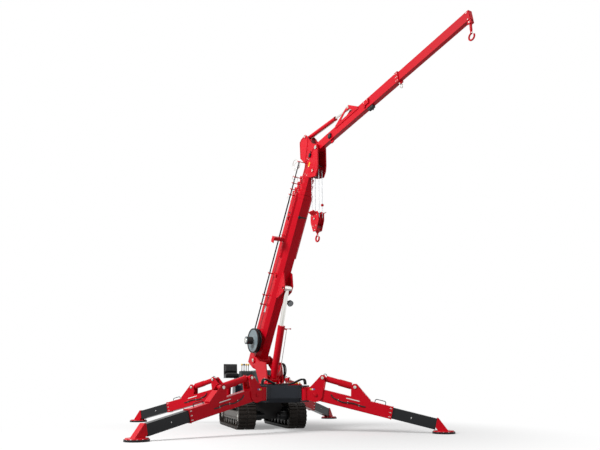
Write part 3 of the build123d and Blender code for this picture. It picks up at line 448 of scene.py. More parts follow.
ARM_SLOPE = radians(13.5)
ARM_END = (1.955, 0.420)
ARM_PIVOT = (0.250, 0.815)
UPPER_PIN = (0.420, 1.180)
LOWER_PIN = (1.150, 0.975)
PAD_REACH = 3.044
POST_PIN_FACE = 0.144
ARM_PIN_FACE = 0.109
POST_SIDE = 0.128
ARM_SIDE = 0.100
INNER_SIDE = 0.080
FILM_LIFT = 0.0004
PAD_TOP = 0.042
PAD_SCREW_CIRCLE = 0.226
LABEL_HEIGHT = 0.930
CLIP_LEVEL = -0.012
ARM_CLIPS = (-1.220, -1.000, -0.740)
ARM_HOSE = (
    (-1.400, 0.070, 0.006),
    (-1.360, 0.010, 0.015),
    (ARM_CLIPS[0], CLIP_LEVEL, 0.016),
    (-1.110, -0.034, 0.018),
    (ARM_CLIPS[1], CLIP_LEVEL, 0.016),
    (-0.870, 0.006, 0.016),
    (ARM_CLIPS[2], CLIP_LEVEL, 0.016),
    (-0.640, -0.016, 0.013),
    (-0.600, -0.010, -0.002),
)
ARM_HANDLE = (
    (-0.420, 0.130), (-0.420, 0.185), (-0.400, 0.205), (-0.300, 0.205),
    (-0.200, 0.205), (-0.180, 0.185), (-0.180, 0.130),
)
CYLINDER_PIPE = (
    (0.425, 1.214),
    (0.430, 1.256),
    (0.465, 1.268),
    (0.500, 1.256),
    (0.508, 1.218),
)
POST_LABELS = (
    (yellow_paint, "yellow", 0.150),
    (white_paint, "white", 0.190),
    (blue_paint, "blue", 0.230),
)

# Where a post's swivel pin stands, and how far its arm turns forwards or back, in degrees.
FRONT_POST = (0.500, -1.140, -1, 26.5)
REAR_POST = (0.700, 2.150, 1, 43.0)
for word, side, (swivel_x, swivel_y, rearwards, heading) in (
    ("front_left", -1, FRONT_POST),
    ("front_right", 1, FRONT_POST),
    ("rear_left", -1, REAR_POST),
    ("rear_right", 1, REAR_POST),
):
    swivel = SLEW + Vector((side * swivel_x, swivel_y, 0.0))
    reach = Vector((side * cos(radians(heading)), rearwards * sin(radians(heading)), 0.0))
    across = reach.cross(UP)
    arm_along = reach * cos(ARM_SLOPE) - UP * sin(ARM_SLOPE)
    arm_up = reach * sin(ARM_SLOPE) + UP * cos(ARM_SLOPE)
    arm_axes = (arm_along, arm_up, across)

    def in_plane(r, z, lateral=0.0):
        """A point in this outrigger's own upright plane."""
        return swivel + reach * r + UP * z + across * lateral

    def on_arm(along, up, lateral=0.0):
        """A point of the arm, measured back from its outer end."""
        return in_plane(*ARM_END, lateral) + arm_along * along + arm_up * up

    for pin, spot, cap, tone in (
        ("arm_pin", ARM_PIVOT, 0.040, red_paint),
        ("post_pin", UPPER_PIN, 0.032, zinc),
    ):
        bm = bmesh.new()
        for lateral in (-1, 1):
            pin_cap(bm, in_plane(*spot, lateral * POST_PIN_FACE), across * lateral, cap)
        finished(f"{pin}_{word}", bm, tone, f"{word}_post")

    bm = bmesh.new()
    for lateral in (-1, 1):
        pin_cap(bm, in_plane(*LOWER_PIN, lateral * ARM_PIN_FACE), across * lateral, 0.034)
        for along in ARM_CLIPS:
            clip = on_arm(along, CLIP_LEVEL, lateral * (ARM_SIDE + 0.004))
            slab(bm, clip, arm_axes, (0.022, 0.044, 0.010))
        for along in (-0.055, -0.030):
            for up in (-0.09, 0.0, 0.09):
                screw(bm, on_arm(along, up, lateral * ARM_SIDE), across * lateral, 0.008, 0.007)
    finished(f"arm_hardware_{word}", bm, zinc, f"{word}_arm")

    for lateral, name in ((-1, "inner"), (1, "outer")):
        route = [on_arm(along, up, lateral * (ARM_SIDE + off)) for along, up, off in ARM_HOSE]
        hose(f"arm_hose_{name}_{word}", route, 0.013, rubber, f"{word}_arm")
    route = [on_arm(along, up) for along, up in ARM_HANDLE]
    hose(f"arm_handle_{word}", route, 0.009, black_paint, f"{word}_arm")
    route = [in_plane(r, z) for r, z in CYLINDER_PIPE]
    hose(f"cylinder_pipe_{word}", route, 0.008, rubber, f"{word}_tube")

    bm = bmesh.new()
    for lateral in (-1, 1):
        spot = on_arm(0.420, 0.0, lateral * (INNER_SIDE + 0.0005))
        rod(bm, spot, spot + across * lateral * 0.004, 0.013, 20)
    finished(f"inner_mark_{word}", bm, white_paint, f"{word}_inner")
    bm = bmesh.new()
    pad = in_plane(PAD_REACH, PAD_TOP)
    screw_ring(bm, pad, UP, SIDEWAYS, PAD_SCREW_CIRCLE, 12, 0.009, 0.006)
    finished(f"pad_screws_{word}", bm, zinc, f"{word}_inner")

    bm = bmesh.new()
    for lateral in (-1, 1):
        strip = on_arm(-0.900, 0.075, lateral * (ARM_SIDE + FILM_LIFT))
        slab(bm, strip, arm_axes, (0.300, 0.020, 0.002), 0.0005)
    finished(f"arm_strip_{word}", bm, white_paint, f"{word}_arm")
    for tone, shade_word, r in POST_LABELS:
        bm = bmesh.new()
        for lateral in (-1, 1):
            label = in_plane(r, LABEL_HEIGHT, lateral * (POST_SIDE + FILM_LIFT))
            slab(bm, label, (reach, UP, across), (0.034, 0.034, 0.002), 0.0005)
        finished(f"post_label_{shade_word}_{word}", bm, tone, f"{word}_post")


# Engine cover, console and levers: a painted hood with three plated latches and a black
# lifting bar, two dials and a row of six switches on the console, and a plastic knob pressed
# onto each lever.
cover_paint = finish_of(
    "cover_paint", (0.040, 0.050, 0.052), coat=0.05, roughness=0.4, drift=0.3, edge_wear=0.4,
    dust=0.1,
)
black_plastic = finish_of(
    "black_plastic", (0.014, 0.014, 0.015), roughness=0.5, drift=0.2, edge_wear=0.1, dust=0.12,
    grain_height=0.15,
)
dress("cover_paint", cover_paint)
dress("black_plastic", black_plastic)
LATCH_RISE = 0.20
COVER_BAR = (
    (1.372, 0.260), (1.325, 0.260), (1.310, 0.300),
    (1.310, 0.360), (1.340, 0.385), (1.372, 0.385),
)
bm = bmesh.new()
for y in (1.55, 2.13, 2.71):
    slab(bm, on_deck(-0.088, y, LATCH_RISE), DECK_AXES, (0.012, 0.10, 0.05), 0.004)
    rod(bm, on_deck(-0.092, y, LATCH_RISE), on_deck(-0.110, y, LATCH_RISE), 0.012, 18)
finished("cover_latches", bm, zinc, "base")
hose("cover_bar", [on_deck(0.235, y, rise) for y, rise in COVER_BAR], 0.010, black_paint, "base")
bm = bmesh.new()
for x in (-0.33, -0.22):
    rod(bm, on_deck(x, 2.20, 0.322), on_deck(x, 2.228, 0.356), 0.036, 28)
for i in range(6):
    slab(bm, on_deck(-0.37 + 0.045 * i, 1.96, 0.384), DECK_AXES, (0.018, 0.026, 0.012))
finished("console_dials", bm, black_plastic, "base")


def ball(bm, spot, radius, rings):
    """A round knob."""
    matrix = Matrix.Translation(spot)
    bmesh.ops.create_uvsphere(bm, u_segments=20, v_segments=rings, radius=radius, matrix=matrix)


for i, tone in enumerate((yellow_paint, rubber, yellow_paint, yellow_paint)):
    bm = bmesh.new()
    ball(bm, on_deck(-0.340 + 0.060 * i, 2.060, 0.550), 0.028, 12)
    finished(f"lever_knob_{i}", bm, tone, "base")


# Seat pads: foam under black vinyl, crowned, drawn in at their sides between the corners
# and sewn in two channels; one lies on the pan and one is fixed to the back's front face.
seat_vinyl = finish_of(
    "seat_vinyl", (0.008, 0.008, 0.009), roughness=0.46, drift=0.2, edge_wear=0.0, dust=0.04,
    grain_size=420.0, grain_height=0.5, edge_radius=0.02,
)
dress("seat_vinyl", seat_vinyl)
SEAT_X = -0.500
PAD_WIDTH = 0.360
PAD_THICK = 0.034
PAD_CROWN = 0.020
BACK_ALONG = Vector((0.0, 0.2479, 0.9688))


def cushion(name, centre, axes, length):
    """A padded block that is flat only underneath."""
    bm = bmesh.new()
    bmesh.ops.create_cube(bm, size=2.0)
    bmesh.ops.subdivide_edges(bm, edges=bm.edges[:], cuts=19, use_grid_fill=True)
    turn = Matrix(axes).transposed().to_4x4()
    for corner in bm.verts:
        x, y, z = corner.co
        dome = (1 - x**4) * (1 - y**4)
        shoulder = ((1 - x**8) * (1 - y**8)) ** 0.5
        channel = max(0.0, 1 - abs(abs(x) - 0.36) / 0.09)
        top = PAD_THICK / 2 * (0.2 + 0.8 * shoulder) + PAD_CROWN * dome * (1 - 0.6 * channel)
        corner.co = (
            x * PAD_WIDTH / 2 * (1 - 0.035 * (1 - y * y)),
            y * length / 2 * (1 - 0.050 * (1 - x * x)),
            z * (top if z > 0 else PAD_THICK / 2),
        )
    bm.transform(Matrix.Translation(centre) @ turn)
    finished(name, bm, seat_vinyl, "base")


cushion("seat_pad", on_deck(SEAT_X, 2.690, 0.306), (SIDEWAYS, -FORWARD, UP), 0.245)
cushion(
    "seat_back_pad", on_deck(SEAT_X, 2.896, 0.4605),
    (SIDEWAYS, BACK_ALONG, SIDEWAYS.cross(BACK_ALONG)), 0.200,
)


# Valve bank beside the turret: a low red block bolted to the deck, with five spools in yellow
# unions, kept under the sweep of the lift cylinder.
BANK_Y = -0.560
SPOOLS = [0.300 + 0.060 * i for i in range(5)]
bm = bmesh.new()
slab(bm, on_deck(0.420, BANK_Y, 0.014), DECK_AXES, (0.300, 0.120, 0.030), 0.004)
for x in SPOOLS:
    rod(bm, on_deck(x, BANK_Y, 0.026), on_deck(x, BANK_Y, 0.066), 0.013, 16)
finished("valve_bank", bm, red_paint, "base")
bm = bmesh.new()
for x in SPOOLS:
    spot = on_deck(x, BANK_Y, 0.044)
    rod(bm, spot, spot + UP * 0.012, 0.022, 6)
    rod(bm, spot + FORWARD * 0.02, spot + FORWARD * 0.07, 0.012, 6)
finished("valve_fittings", bm, yellow_paint, "base")


# Slewing ring and turret: welded red side plates on a ring of screws, plated keeper plates over
# the boom's and the lift cylinder's pins, and rubber hoses that bend down from the boom's foot
# to the base plate.
BOOM_TURN = radians(14.0)
OUT = Vector((sin(BOOM_TURN), -cos(BOOM_TURN), 0.0))
FLANK = OUT.cross(UP)
BOOM_PIN = (-0.557, 1.634)
LIFT_PIN = (0.070, 1.150)
RING_TOP = 1.070
RING_SCREW_CIRCLE = 0.388
TURRET_HOSE = (
    (-0.030, 1.530, -0.205, 1.0),
    (0.020, 1.560, -0.270, 0.0),
    (0.070, 1.480, -0.285, -0.4),
    (0.120, 1.340, -0.275, -0.4),
    (0.100, 1.200, -0.265, 0.0),
    (0.060, 1.110, -0.262, 0.0),
    (0.050, 1.072, -0.262, 0.0),
)
bm = bmesh.new()
screw_ring(bm, SLEW + UP * RING_TOP, UP, SIDEWAYS, RING_SCREW_CIRCLE, 24, 0.010)
finished("ring_screws", bm, zinc, "turret")


def on_turret(out, height, flank=0.0):
    """A point of the turret: metres out from the slewing axis, up, to the picture's left."""
    return SLEW + OUT * out + UP * height + FLANK * flank


for i, (shift, radius) in enumerate(((0.0, 0.014), (0.032, 0.014), (0.066, 0.011))):
    route = [
        on_turret(out + shift, height, flank + shift * spread)
        for out, height, flank, spread in TURRET_HOSE
    ]
    hose(f"turret_hose_{i}", route, radius, rubber, "turret")
bm = bmesh.new()
for side in (-1, 1):
    for pin, face in ((BOOM_PIN, 0.252), (LIFT_PIN, 0.230)):
        pin_cap(bm, on_turret(*pin, side * face), FLANK * side, 0.042, 0.014, 0.010)
finished("turret_pins", bm, zinc, "turret")


# Lift cylinder: a red tube with a screwed gland ring and a chromed rod. A thin steel pipe runs
# low along the tube, on the side away from the reel, from a shut-off valve at its top to its foot.
chrome = finish_of(
    "chrome", (0.78, 0.77, 0.73), metallic=1.0, roughness=0.17, drift=0.05, edge_wear=0.0,
    dust=0.02, grain_height=0.01,
)
dress("chrome_rod", chrome)


def slope(rise):
    """Unit vectors along and across a beam of the boom's plane, by its rise in degrees."""
    along = OUT * cos(radians(rise)) + UP * sin(radians(rise))
    return along, UP * cos(radians(rise)) - OUT * sin(radians(rise))


BOOM_FOOT = SLEW + OUT * -0.660 + UP * 1.695
BOOM_ALONG, BOOM_ACROSS = slope(59.5)


def on_boom(along, across, flank=0.0):
    """A point of the boom: metres from its foot, off its centre line, to the picture's left."""
    return BOOM_FOOT + BOOM_ALONG * along + BOOM_ACROSS * across + FLANK * flank


LIFT_BASE = on_turret(*LIFT_PIN)
LIFT_EYE = on_boom(2.100, -0.400)
LIFT_ALONG = (LIFT_EYE - LIFT_BASE).normalized()
LIFT_ACROSS = FLANK.cross(LIFT_ALONG)


def on_lift(along, across, flank):
    """A point of the lift cylinder, measured from its lower pin."""
    return LIFT_BASE + LIFT_ALONG * along + LIFT_ACROSS * across + FLANK * flank


PIPE_TOP = 1.270
LIFT_PIPE = (
    (PIPE_TOP, -0.040, -0.070),
    (PIPE_TOP, -0.078, -0.108),
    (1.210, -0.080, -0.115),
    (0.800, -0.080, -0.115),
    (0.300, -0.080, -0.115),
    (0.160, -0.070, -0.095),
    (0.150, -0.040, -0.070),
)
hose("lift_pipe", [on_lift(*spot) for spot in LIFT_PIPE], 0.009, zinc, "lift_tube")
bm = bmesh.new()
rod(bm, on_lift(PIPE_TOP, -0.050, -0.060), on_lift(PIPE_TOP, -0.095, -0.110), 0.020, 6)
rod(bm, on_lift(1.280, -0.088, -0.100), on_lift(1.286, -0.098, -0.200), 0.008, 12)
rod(bm, on_lift(1.286, -0.097, -0.190), on_lift(1.287, -0.099, -0.217), 0.016, 16)
finished("lift_valve", bm, red_paint, "lift_tube")
bm = bmesh.new()
rod(bm, on_lift(1.306, 0.0, 0.0), on_lift(1.334, 0.0, 0.0), 0.090, 40)
finished("lift_gland", bm, red_paint, "lift_tube")


# Cable reel: two painted discs with a black rolled rim on a black drum, turns of black cable
# between them, six screws round the hub and a polished cap on the winding spring's housing.
REEL = (0.480, 0.0)
REEL_FLANK = 0.180
REEL_TONE = (0.19, 0.24, 0.26)
RIM_TONE = (0.008, 0.009, 0.010)
RIM_START = 0.272
reel_grey = finish_of(
    "reel_grey", REEL_TONE, coat=0.1, roughness=0.35, drift=0.15, edge_wear=0.3, dust=0.03
)

# The rim's black starts at its own distance from the hub's axis.
reel_tree = reel_grey.node_tree
reel_place = node(reel_tree, "ShaderNodeTexCoord")
reel_from_hub = node(reel_tree, "ShaderNodeVectorMath", operation="SUBTRACT")
reel_from_hub.inputs[1].default_value = on_boom(*REEL)
wire(reel_tree, reel_place.outputs["Object"], reel_from_hub.inputs[0])
reel_off_axis = node(reel_tree, "ShaderNodeVectorMath", operation="CROSS_PRODUCT")
reel_off_axis.inputs[1].default_value = FLANK
wire(reel_tree, reel_from_hub.outputs["Vector"], reel_off_axis.inputs[0])
reel_radius = node(reel_tree, "ShaderNodeVectorMath", operation="LENGTH")
wire(reel_tree, reel_off_axis.outputs["Vector"], reel_radius.inputs[0])
reel_rim = arithmetic(reel_tree, "GREATER_THAN", reel_radius.outputs["Value"], RIM_START)
reel_tones = blended(reel_tree, reel_rim, (*REEL_TONE, 1.0), (*RIM_TONE, 1.0))
reel_group = [made for made in reel_tree.nodes if made.type == "GROUP"][0]
wire(reel_tree, reel_tones, reel_group.inputs["Color"])
dress("reel_grey", reel_grey)

# Where each turn of cable lies: its place between the discs and its radius.
CABLE_TURNS = ((0.084, 0.250), (0.102, 0.252), (0.120, 0.249), (0.093, 0.268), (0.111, 0.267))
bm = bmesh.new()
for shift, radius in CABLE_TURNS:
    centre = on_boom(*REEL, REEL_FLANK + shift)
    ring = Matrix.Translation(centre) @ FLANK.to_track_quat("Z", "Y").to_matrix().to_4x4()
    section = bmesh.ops.create_circle(
        bm, segments=10, radius=0.0088,
        matrix=ring @ Matrix.Translation((radius, 0.0, 0.0)) @ Matrix.Rotation(pi / 2, 4, "X"),
    )
    edges = list({edge for corner in section["verts"] for edge in corner.link_edges})
    bmesh.ops.spin(
        bm, geom=edges, cent=centre, axis=FLANK, angle=2 * pi, steps=56, use_merge=True,
        use_duplicate=False,
    )
finished("reel_cable", bm, rubber, "reel")
bm = bmesh.new()
rod(bm, on_boom(*REEL, 0.522), on_boom(*REEL, 0.534), 0.058, 36)
screw_ring(bm, on_boom(*REEL, 0.348), FLANK, BOOM_ALONG, 0.106, 6, 0.008, 0.007)
finished("reel_cap", bm, chrome, "reel")
bm = bmesh.new()
rod(bm, on_boom(*REEL, 0.356), on_boom(*REEL, 0.5235), 0.0935, 48)
finished("reel_drum", bm, black_plastic, "reel")


# Reel cable along the boom: one taut run that telescopes, a length riding on each section,
# held by red forked guides on the base box and at each section's mouth.
CABLE_FLANK = 0.300
CABLE_ACROSS = 0.110
FORK_ACROSS = CABLE_ACROSS - 0.034
STROKE = 3.450
BOOM_AXES = (BOOM_ALONG, BOOM_ACROSS, FLANK)
CABLE_SECTIONS = (
    # body, its run's lower and upper end, half the section's width
    ("boom", 0.700, 4.300, 0.180),
    ("boom_2", 4.440 - STROKE, 4.440, 0.159),
    ("boom_3", 4.590 - STROKE, 4.590, 0.138),
    ("boom_4", 4.740 - STROKE, 4.740, 0.117),
    ("boom_5", 5.120 - STROKE, 5.120, 0.096),
)
for i, (body, low, high, half) in enumerate(CABLE_SECTIONS):
    bm = bmesh.new()
    foot = on_boom(low, CABLE_ACROSS, CABLE_FLANK)
    mouth = on_boom(high, CABLE_ACROSS, CABLE_FLANK)
    rod(bm, foot, mouth, 0.017 - 0.001 * i, 16)
    finished(f"reel_cable_run_{i}", bm, rubber, body)
    bm = bmesh.new()
    guides = (1.440, 1.690, 2.270, 4.300) if i == 0 else (high,)
    for along in guides:
        reach = CABLE_FLANK + 0.045
        slab(
            bm, on_boom(along, FORK_ACROSS, (half + reach) / 2), BOOM_AXES,
            (0.018, 0.016, reach - half + 0.010),
        )
        for flank in (CABLE_FLANK - 0.026, CABLE_FLANK + 0.026):
            foot = on_boom(along, CABLE_ACROSS - 0.036, flank)
            rod(bm, foot, on_boom(along, CABLE_ACROSS + 0.036, flank), 0.011, 14)
        slab(bm, on_boom(along, FORK_ACROSS, half + 0.005), BOOM_AXES, (0.070, 0.070, 0.012))
    finished(f"cable_guides_{i}", bm, red_paint, body)
    bm = bmesh.new()
    for along in guides:
        for shift in (-0.022, 0.022):
            spot = on_boom(along + shift, CABLE_ACROSS - 0.056, half + 0.010)
            screw(bm, spot, FLANK, 0.007, 0.006)
    finished(f"guide_screws_{i}", bm, zinc, body)


# Boom fittings: red folded brackets screwed to the base box, a rubber strap round it with its
# buckle, and a blank white label.
BRACKETS = (
    (3.190, 0.020, 0.340, (0.085, 0.110, 0.330), 0.006),
    (3.160, 0.020, 0.500, (0.150, 0.135, 0.016), 0.004),
    (3.190, 0.020, 0.186, (0.190, 0.180, 0.014), 0.004),
    (3.290, 0.020, 0.240, (0.012, 0.100, 0.110), 0.004),
    (3.720, 0.120, 0.196, (0.110, 0.090, 0.034), 0.006),
    (2.270, -0.010, 0.196, (0.090, 0.120, 0.034), 0.006),
)
STRAP = 3.850
bm = bmesh.new()
for along, up, flank, size, bevel in BRACKETS:
    slab(bm, on_boom(along, up, flank), BOOM_AXES, size, bevel)
finished("boom_brackets", bm, red_paint, "boom")
bm = bmesh.new()
for along in (3.115, 3.265):
    for up in (0.09, -0.05):
        screw(bm, on_boom(along, up, 0.193), FLANK, 0.009, 0.008)
for along in (3.685, 3.755):
    screw(bm, on_boom(along, 0.120, 0.213), FLANK, 0.009, 0.008)
for along in (4.325, 4.355):
    for up in (-0.03, 0.05, 0.13, 0.21):
        for side in (-1, 1):
            screw(bm, on_boom(along, up, side * 0.192), FLANK * side, 0.008, 0.007)
finished("boom_screws", bm, zinc, "boom")
bm = bmesh.new()
slab(bm, on_boom(STRAP, -0.2035, 0.0), BOOM_AXES, (0.034, 0.006, 0.214))
slab(bm, on_boom(STRAP, 0.060, 0.1832), BOOM_AXES, (0.034, 0.250, 0.006))
rod(bm, on_boom(STRAP, -0.200, 0.085), on_boom(STRAP, -0.238, 0.085), 0.034, 28)
finished("boom_strap", bm, rubber, "boom")
bm = bmesh.new()
slab(bm, on_boom(1.330, 0.075, 0.1806), BOOM_AXES, (0.190, 0.070, 0.0016), 0.0005)
finished("boom_label", bm, white_paint, "boom")


# Work lamp under the boom: a black plastic housing on a bent arm that is bolted to the base
# box, with a flat glass in front.
LAMP_ALONG, LAMP_ACROSS, LAMP_FLANK = 1.700, -0.330, -0.215


def on_lamp(across):
    """A point of the lamp's own axis."""
    return on_boom(LAMP_ALONG, LAMP_ACROSS + across, LAMP_FLANK)


bm = bmesh.new()
rod(bm, on_lamp(0.0), on_lamp(-0.060), 0.072, 32, taper=1.08)
rod(bm, on_lamp(0.0), on_lamp(0.028), 0.062, 32, taper=0.45)
slab(bm, on_boom(LAMP_ALONG, -0.245, -0.190), BOOM_AXES, (0.045, 0.170, 0.008), 0.003)
slab(bm, on_boom(LAMP_ALONG, -0.165, -0.168), BOOM_AXES, (0.045, 0.012, 0.050), 0.003)
finished("work_lamp", bm, black_plastic, "boom")
lamp_glass = finish_of(
    "lamp_glass", (0.30, 0.33, 0.35), coat=0.8, roughness=0.12, drift=0.05, edge_wear=0.0, dust=0.08
)
bm = bmesh.new()
rod(bm, on_lamp(-0.060), on_lamp(-0.064), 0.068, 32)
finished("work_lamp_glass", bm, lamp_glass, "boom")


# Coils of spare steel wire at the boom's sections: loose uneven loops, tied to the head's side
# and to two of the mouths.
COILS = (
    ("boom_5", 5.000, 0.235, 0.300, 0.125, 0.0),
    ("boom_5", 5.035, 0.215, 0.300, 0.108, 0.5),
    ("boom_5", 4.985, 0.205, 0.300, 0.096, -0.6),
    ("boom_4", 4.700, 0.180, 0.270, 0.070, 0.3),
    ("boom", 4.160, 0.205, 0.270, 0.075, -0.3),
)
for i, (body, along, up, side, radius, lean) in enumerate(COILS):
    loop = []
    for step in range(15):
        turn = step * 2 * pi / 14 + i
        swell = radius * (1.0 + 0.06 * sin(3 * turn + i))
        sway = 0.030 * sin(turn + lean) * (1 + lean) - 0.004 * i
        loop.append(on_boom(along + swell * cos(turn), up + swell * sin(turn), side + sway))
    hose(f"wire_coil_{i}", loop, 0.0045, zinc, body)


# Boom head: red welded side plates with ribs along their rims, screwed sheave and cylinder
# pins, dividers between the steel sheaves, a limit switch, a blank yellow label and two rubber
# hoses that feed the jib's cylinder.
dark_steel = finish_of(
    "dark_steel", (0.05, 0.05, 0.052), metallic=0.6, roughness=0.42, drift=0.4, edge_wear=0.8,
    edge_color=(0.3, 0.3, 0.3), dust=0.1,
)
dress("dark_steel", dark_steel)
HORN = (5.690, 0.483)
SHEAVE = (5.030, -0.300)
HEAD_SIDE = 0.116
PIN_FACE = 0.130
RIB_FLANK = 0.120
SWITCH_FLANK = 0.136
bm = bmesh.new()
slab(bm, on_boom(5.120, -0.060, HEAD_SIDE + 0.0008), BOOM_AXES, (0.110, 0.050, 0.0016), 0.0005)
finished("head_label", bm, yellow_paint, "boom_5")
bm = bmesh.new()
for pin in (SHEAVE, HORN):
    for side in (-1, 1):
        face = on_boom(*pin, side * PIN_FACE)
        screw(bm, face, FLANK * side, 0.016, 0.012)
        screw_ring(bm, face, FLANK * side, BOOM_ALONG, 0.034, 5, 0.0055, 0.005)
HEAD_SCREWS = ((4.870, 0.0), (4.870, -0.09), (5.230, 0.02), (5.230, 0.10), (5.060, -0.06))
for spot in HEAD_SCREWS:
    for side in (-1, 1):
        screw(bm, on_boom(*spot, side * HEAD_SIDE), FLANK * side, 0.009, 0.008)
finished("head_screws", bm, zinc, "boom_5")
HEAD_RIM = ((5.160, 0.415), (5.508, 0.655), (5.602, 0.618), (5.722, 0.500))
HEAD_FOOT = (
    (5.640, -0.160), (5.575, -0.228), (5.212, -0.448),
    (5.088, -0.492), (4.946, -0.482), (4.874, -0.290),
)
HEAD_STAY = ((5.104, 0.130), (5.700, 0.330))
HEAD_BRACE = ((5.104, 0.130), (5.560, -0.100))
bm = bmesh.new()
for rim in (HEAD_RIM, HEAD_FOOT, HEAD_STAY, HEAD_BRACE):
    for first, last in zip(rim, rim[1:]):
        run = on_boom(*last) - on_boom(*first)
        for flank in (-RIB_FLANK, RIB_FLANK):
            middle = (on_boom(*first, flank) + on_boom(*last, flank)) / 2
            axes = (run.normalized(), FLANK.cross(run.normalized()), FLANK)
            slab(bm, middle, axes, (run.length + 0.012, 0.014, 0.012), 0.003)
finished("head_ribs", bm, red_paint, "boom_5")
bm = bmesh.new()
for flank in (-0.072, -0.022, 0.022, 0.072):
    slab(bm, on_boom(5.050, -0.418, flank), BOOM_AXES, (0.230, 0.116, 0.005), 0.001)
finished("sheave_dividers", bm, red_paint, "boom_5")
bm = bmesh.new()
slab(bm, on_boom(5.330, -0.010, SWITCH_FLANK), BOOM_AXES, (0.100, 0.060, 0.040), 0.006)
elbow = on_boom(5.430, -0.010, SWITCH_FLANK)
rod(bm, on_boom(5.385, -0.010, SWITCH_FLANK), elbow, 0.008, 14)
rod(bm, elbow, on_boom(5.430, 0.040, SWITCH_FLANK), 0.006, 14)
finished("limit_switch", bm, black_plastic, "boom_5")
JIB_HOSE = (
    (5.020, 0.152, 1.0),
    (5.060, 0.230, 1.0),
    (5.150, 0.330, 1.6),
    (5.300, 0.440, 1.8),
    (5.450, 0.440, 1.6),
    (5.560, 0.450, 1.0),
    (5.640, 0.470, 0.7),
)
for i, flank in enumerate((0.030, -0.030)):
    route = [on_boom(along, up, flank * spread) for along, up, spread in JIB_HOSE]
    hose(f"jib_hose_{i}", route, 0.012, rubber, "boom_5")


# Jib fittings: red brackets and a lashing shackle welded and pinned to the jib, a black
# manifold and roller box, keeper plates over its pins, rows of plated screws, and the
# extension's red end cap.
JIB_PIVOT = on_boom(5.560, -0.157)
JIB_ALONG, JIB_ACROSS = slope(8.6)
JIB_AXES = (JIB_ALONG, JIB_ACROSS, FLANK)
JIB_CYLINDER_PIN = (1.314, 0.327)
TIP_PIN = (4.890, -0.095)
LASHING = 2.985


def on_jib(along, across, flank=0.0):
    """A point of the jib, measured from its pivot."""
    return JIB_PIVOT + JIB_ALONG * along + JIB_ACROSS * across + FLANK * flank


bm = bmesh.new()
slab(bm, on_jib(1.945, 0.060, 0.070), JIB_AXES, (0.190, 0.110, 0.028), 0.006)
slab(bm, on_jib(1.880, 0.000, 0.070), JIB_AXES, (0.060, 0.060, 0.028), 0.006)
slab(bm, on_jib(0.524, -0.095, 0.0), JIB_AXES, (0.090, 0.070, 0.030), 0.006)
slab(bm, on_jib(LASHING, -0.100, 0.0), JIB_AXES, (0.060, 0.060, 0.024), 0.006)
finished("jib_brackets", bm, red_paint, "jib")
bm = bmesh.new()
slab(bm, on_jib(0.534, 0.029, 0.074), JIB_AXES, (0.110, 0.100, 0.038), 0.008)
slab(bm, on_jib(2.020, -0.096, 0.0), JIB_AXES, (0.170, 0.062, 0.080), 0.008)
rod(bm, on_jib(2.020, -0.112, -0.048), on_jib(2.020, -0.112, 0.048), 0.024, 24)
finished("jib_manifold", bm, black_plastic, "jib")
bm = bmesh.new()
for along in (1.885, 2.005):
    screw(bm, on_jib(along, 0.085, 0.084), FLANK, 0.008, 0.007)
for side in (-1, 1):
    for along in (2.930, 2.975):
        for up in (-0.04, 0.04, 0.12):
            screw(bm, on_jib(along, up, side * 0.063), FLANK * side, 0.008, 0.007)
    pin_cap(bm, on_jib(*JIB_CYLINDER_PIN, side * 0.069), FLANK * side, 0.032, 0.011, 0.009)
    pin_cap(bm, on_jib(0.0, 0.0, side * PIN_FACE), FLANK * side, 0.045, 0.014, 0.010)
finished("jib_screws", bm, zinc, "jib")
SHACKLE = (
    (-0.118, -0.030), (-0.160, -0.036), (-0.205, -0.024), (-0.218, 0.0),
    (-0.205, 0.024), (-0.160, 0.036), (-0.118, 0.030),
)
hose("jib_shackle", [on_jib(LASHING, *spot) for spot in SHACKLE], 0.008, zinc, "jib")
bm = bmesh.new()
rod(bm, on_jib(LASHING, -0.118, -0.044), on_jib(LASHING, -0.118, 0.044), 0.009, 14)
finished("jib_shackle_pin", bm, zinc, "jib")
bm = bmesh.new()
for side in (-1, 1):
    rod(bm, on_jib(3.946, 0.026, side * 0.0420), on_jib(3.946, 0.026, side * 0.0438), 0.012, 20)
finished("extension_plug", bm, rubber, "jib_inner")
bm = bmesh.new()
for side in (-1, 1):
    for up in (-0.03, 0.11):
        screw(bm, on_jib(4.880, up, side * 0.043), FLANK * side, 0.008, 0.007)
    screw(bm, on_jib(*TIP_PIN, side * 0.034), FLANK * side, 0.012, 0.009)
finished("extension_screws", bm, zinc, "jib_inner")
bm = bmesh.new()
slab(bm, on_jib(4.9325, 0.040, 0.0), JIB_AXES, (0.006, 0.176, 0.076), 0.002)
finished("extension_cap", bm, red_paint, "jib_inner")


# Jib cylinder: a red tube pinned to the head's horn, with a thin steel pipe along its underside
# and a screwed gland ring where the chromed rod leaves it.
JIB_CYLINDER_BASE = on_boom(*HORN)
JIB_CYLINDER_ALONG = (on_jib(*JIB_CYLINDER_PIN) - JIB_CYLINDER_BASE).normalized()
JIB_CYLINDER_DOWN = JIB_CYLINDER_ALONG.cross(FLANK)
JIB_CYLINDER_PIPE = (
    (0.090, 0.045), (0.095, 0.062), (0.140, 0.066),
    (0.600, 0.066), (1.060, 0.066), (1.105, 0.062),
    (1.110, 0.045),
)


def on_jib_cylinder(along, down=0.0):
    """A point of the jib cylinder, measured from its pin in the horn."""
    return JIB_CYLINDER_BASE + JIB_CYLINDER_ALONG * along + JIB_CYLINDER_DOWN * down


route = [on_jib_cylinder(*spot) for spot in JIB_CYLINDER_PIPE]
hose("jib_cylinder_pipe", route, 0.007, zinc, "jib_tube")
bm = bmesh.new()
rod(bm, on_jib_cylinder(1.135), on_jib_cylinder(1.163), 0.0505, 40)
finished("jib_cylinder_gland", bm, red_paint, "jib_tube")


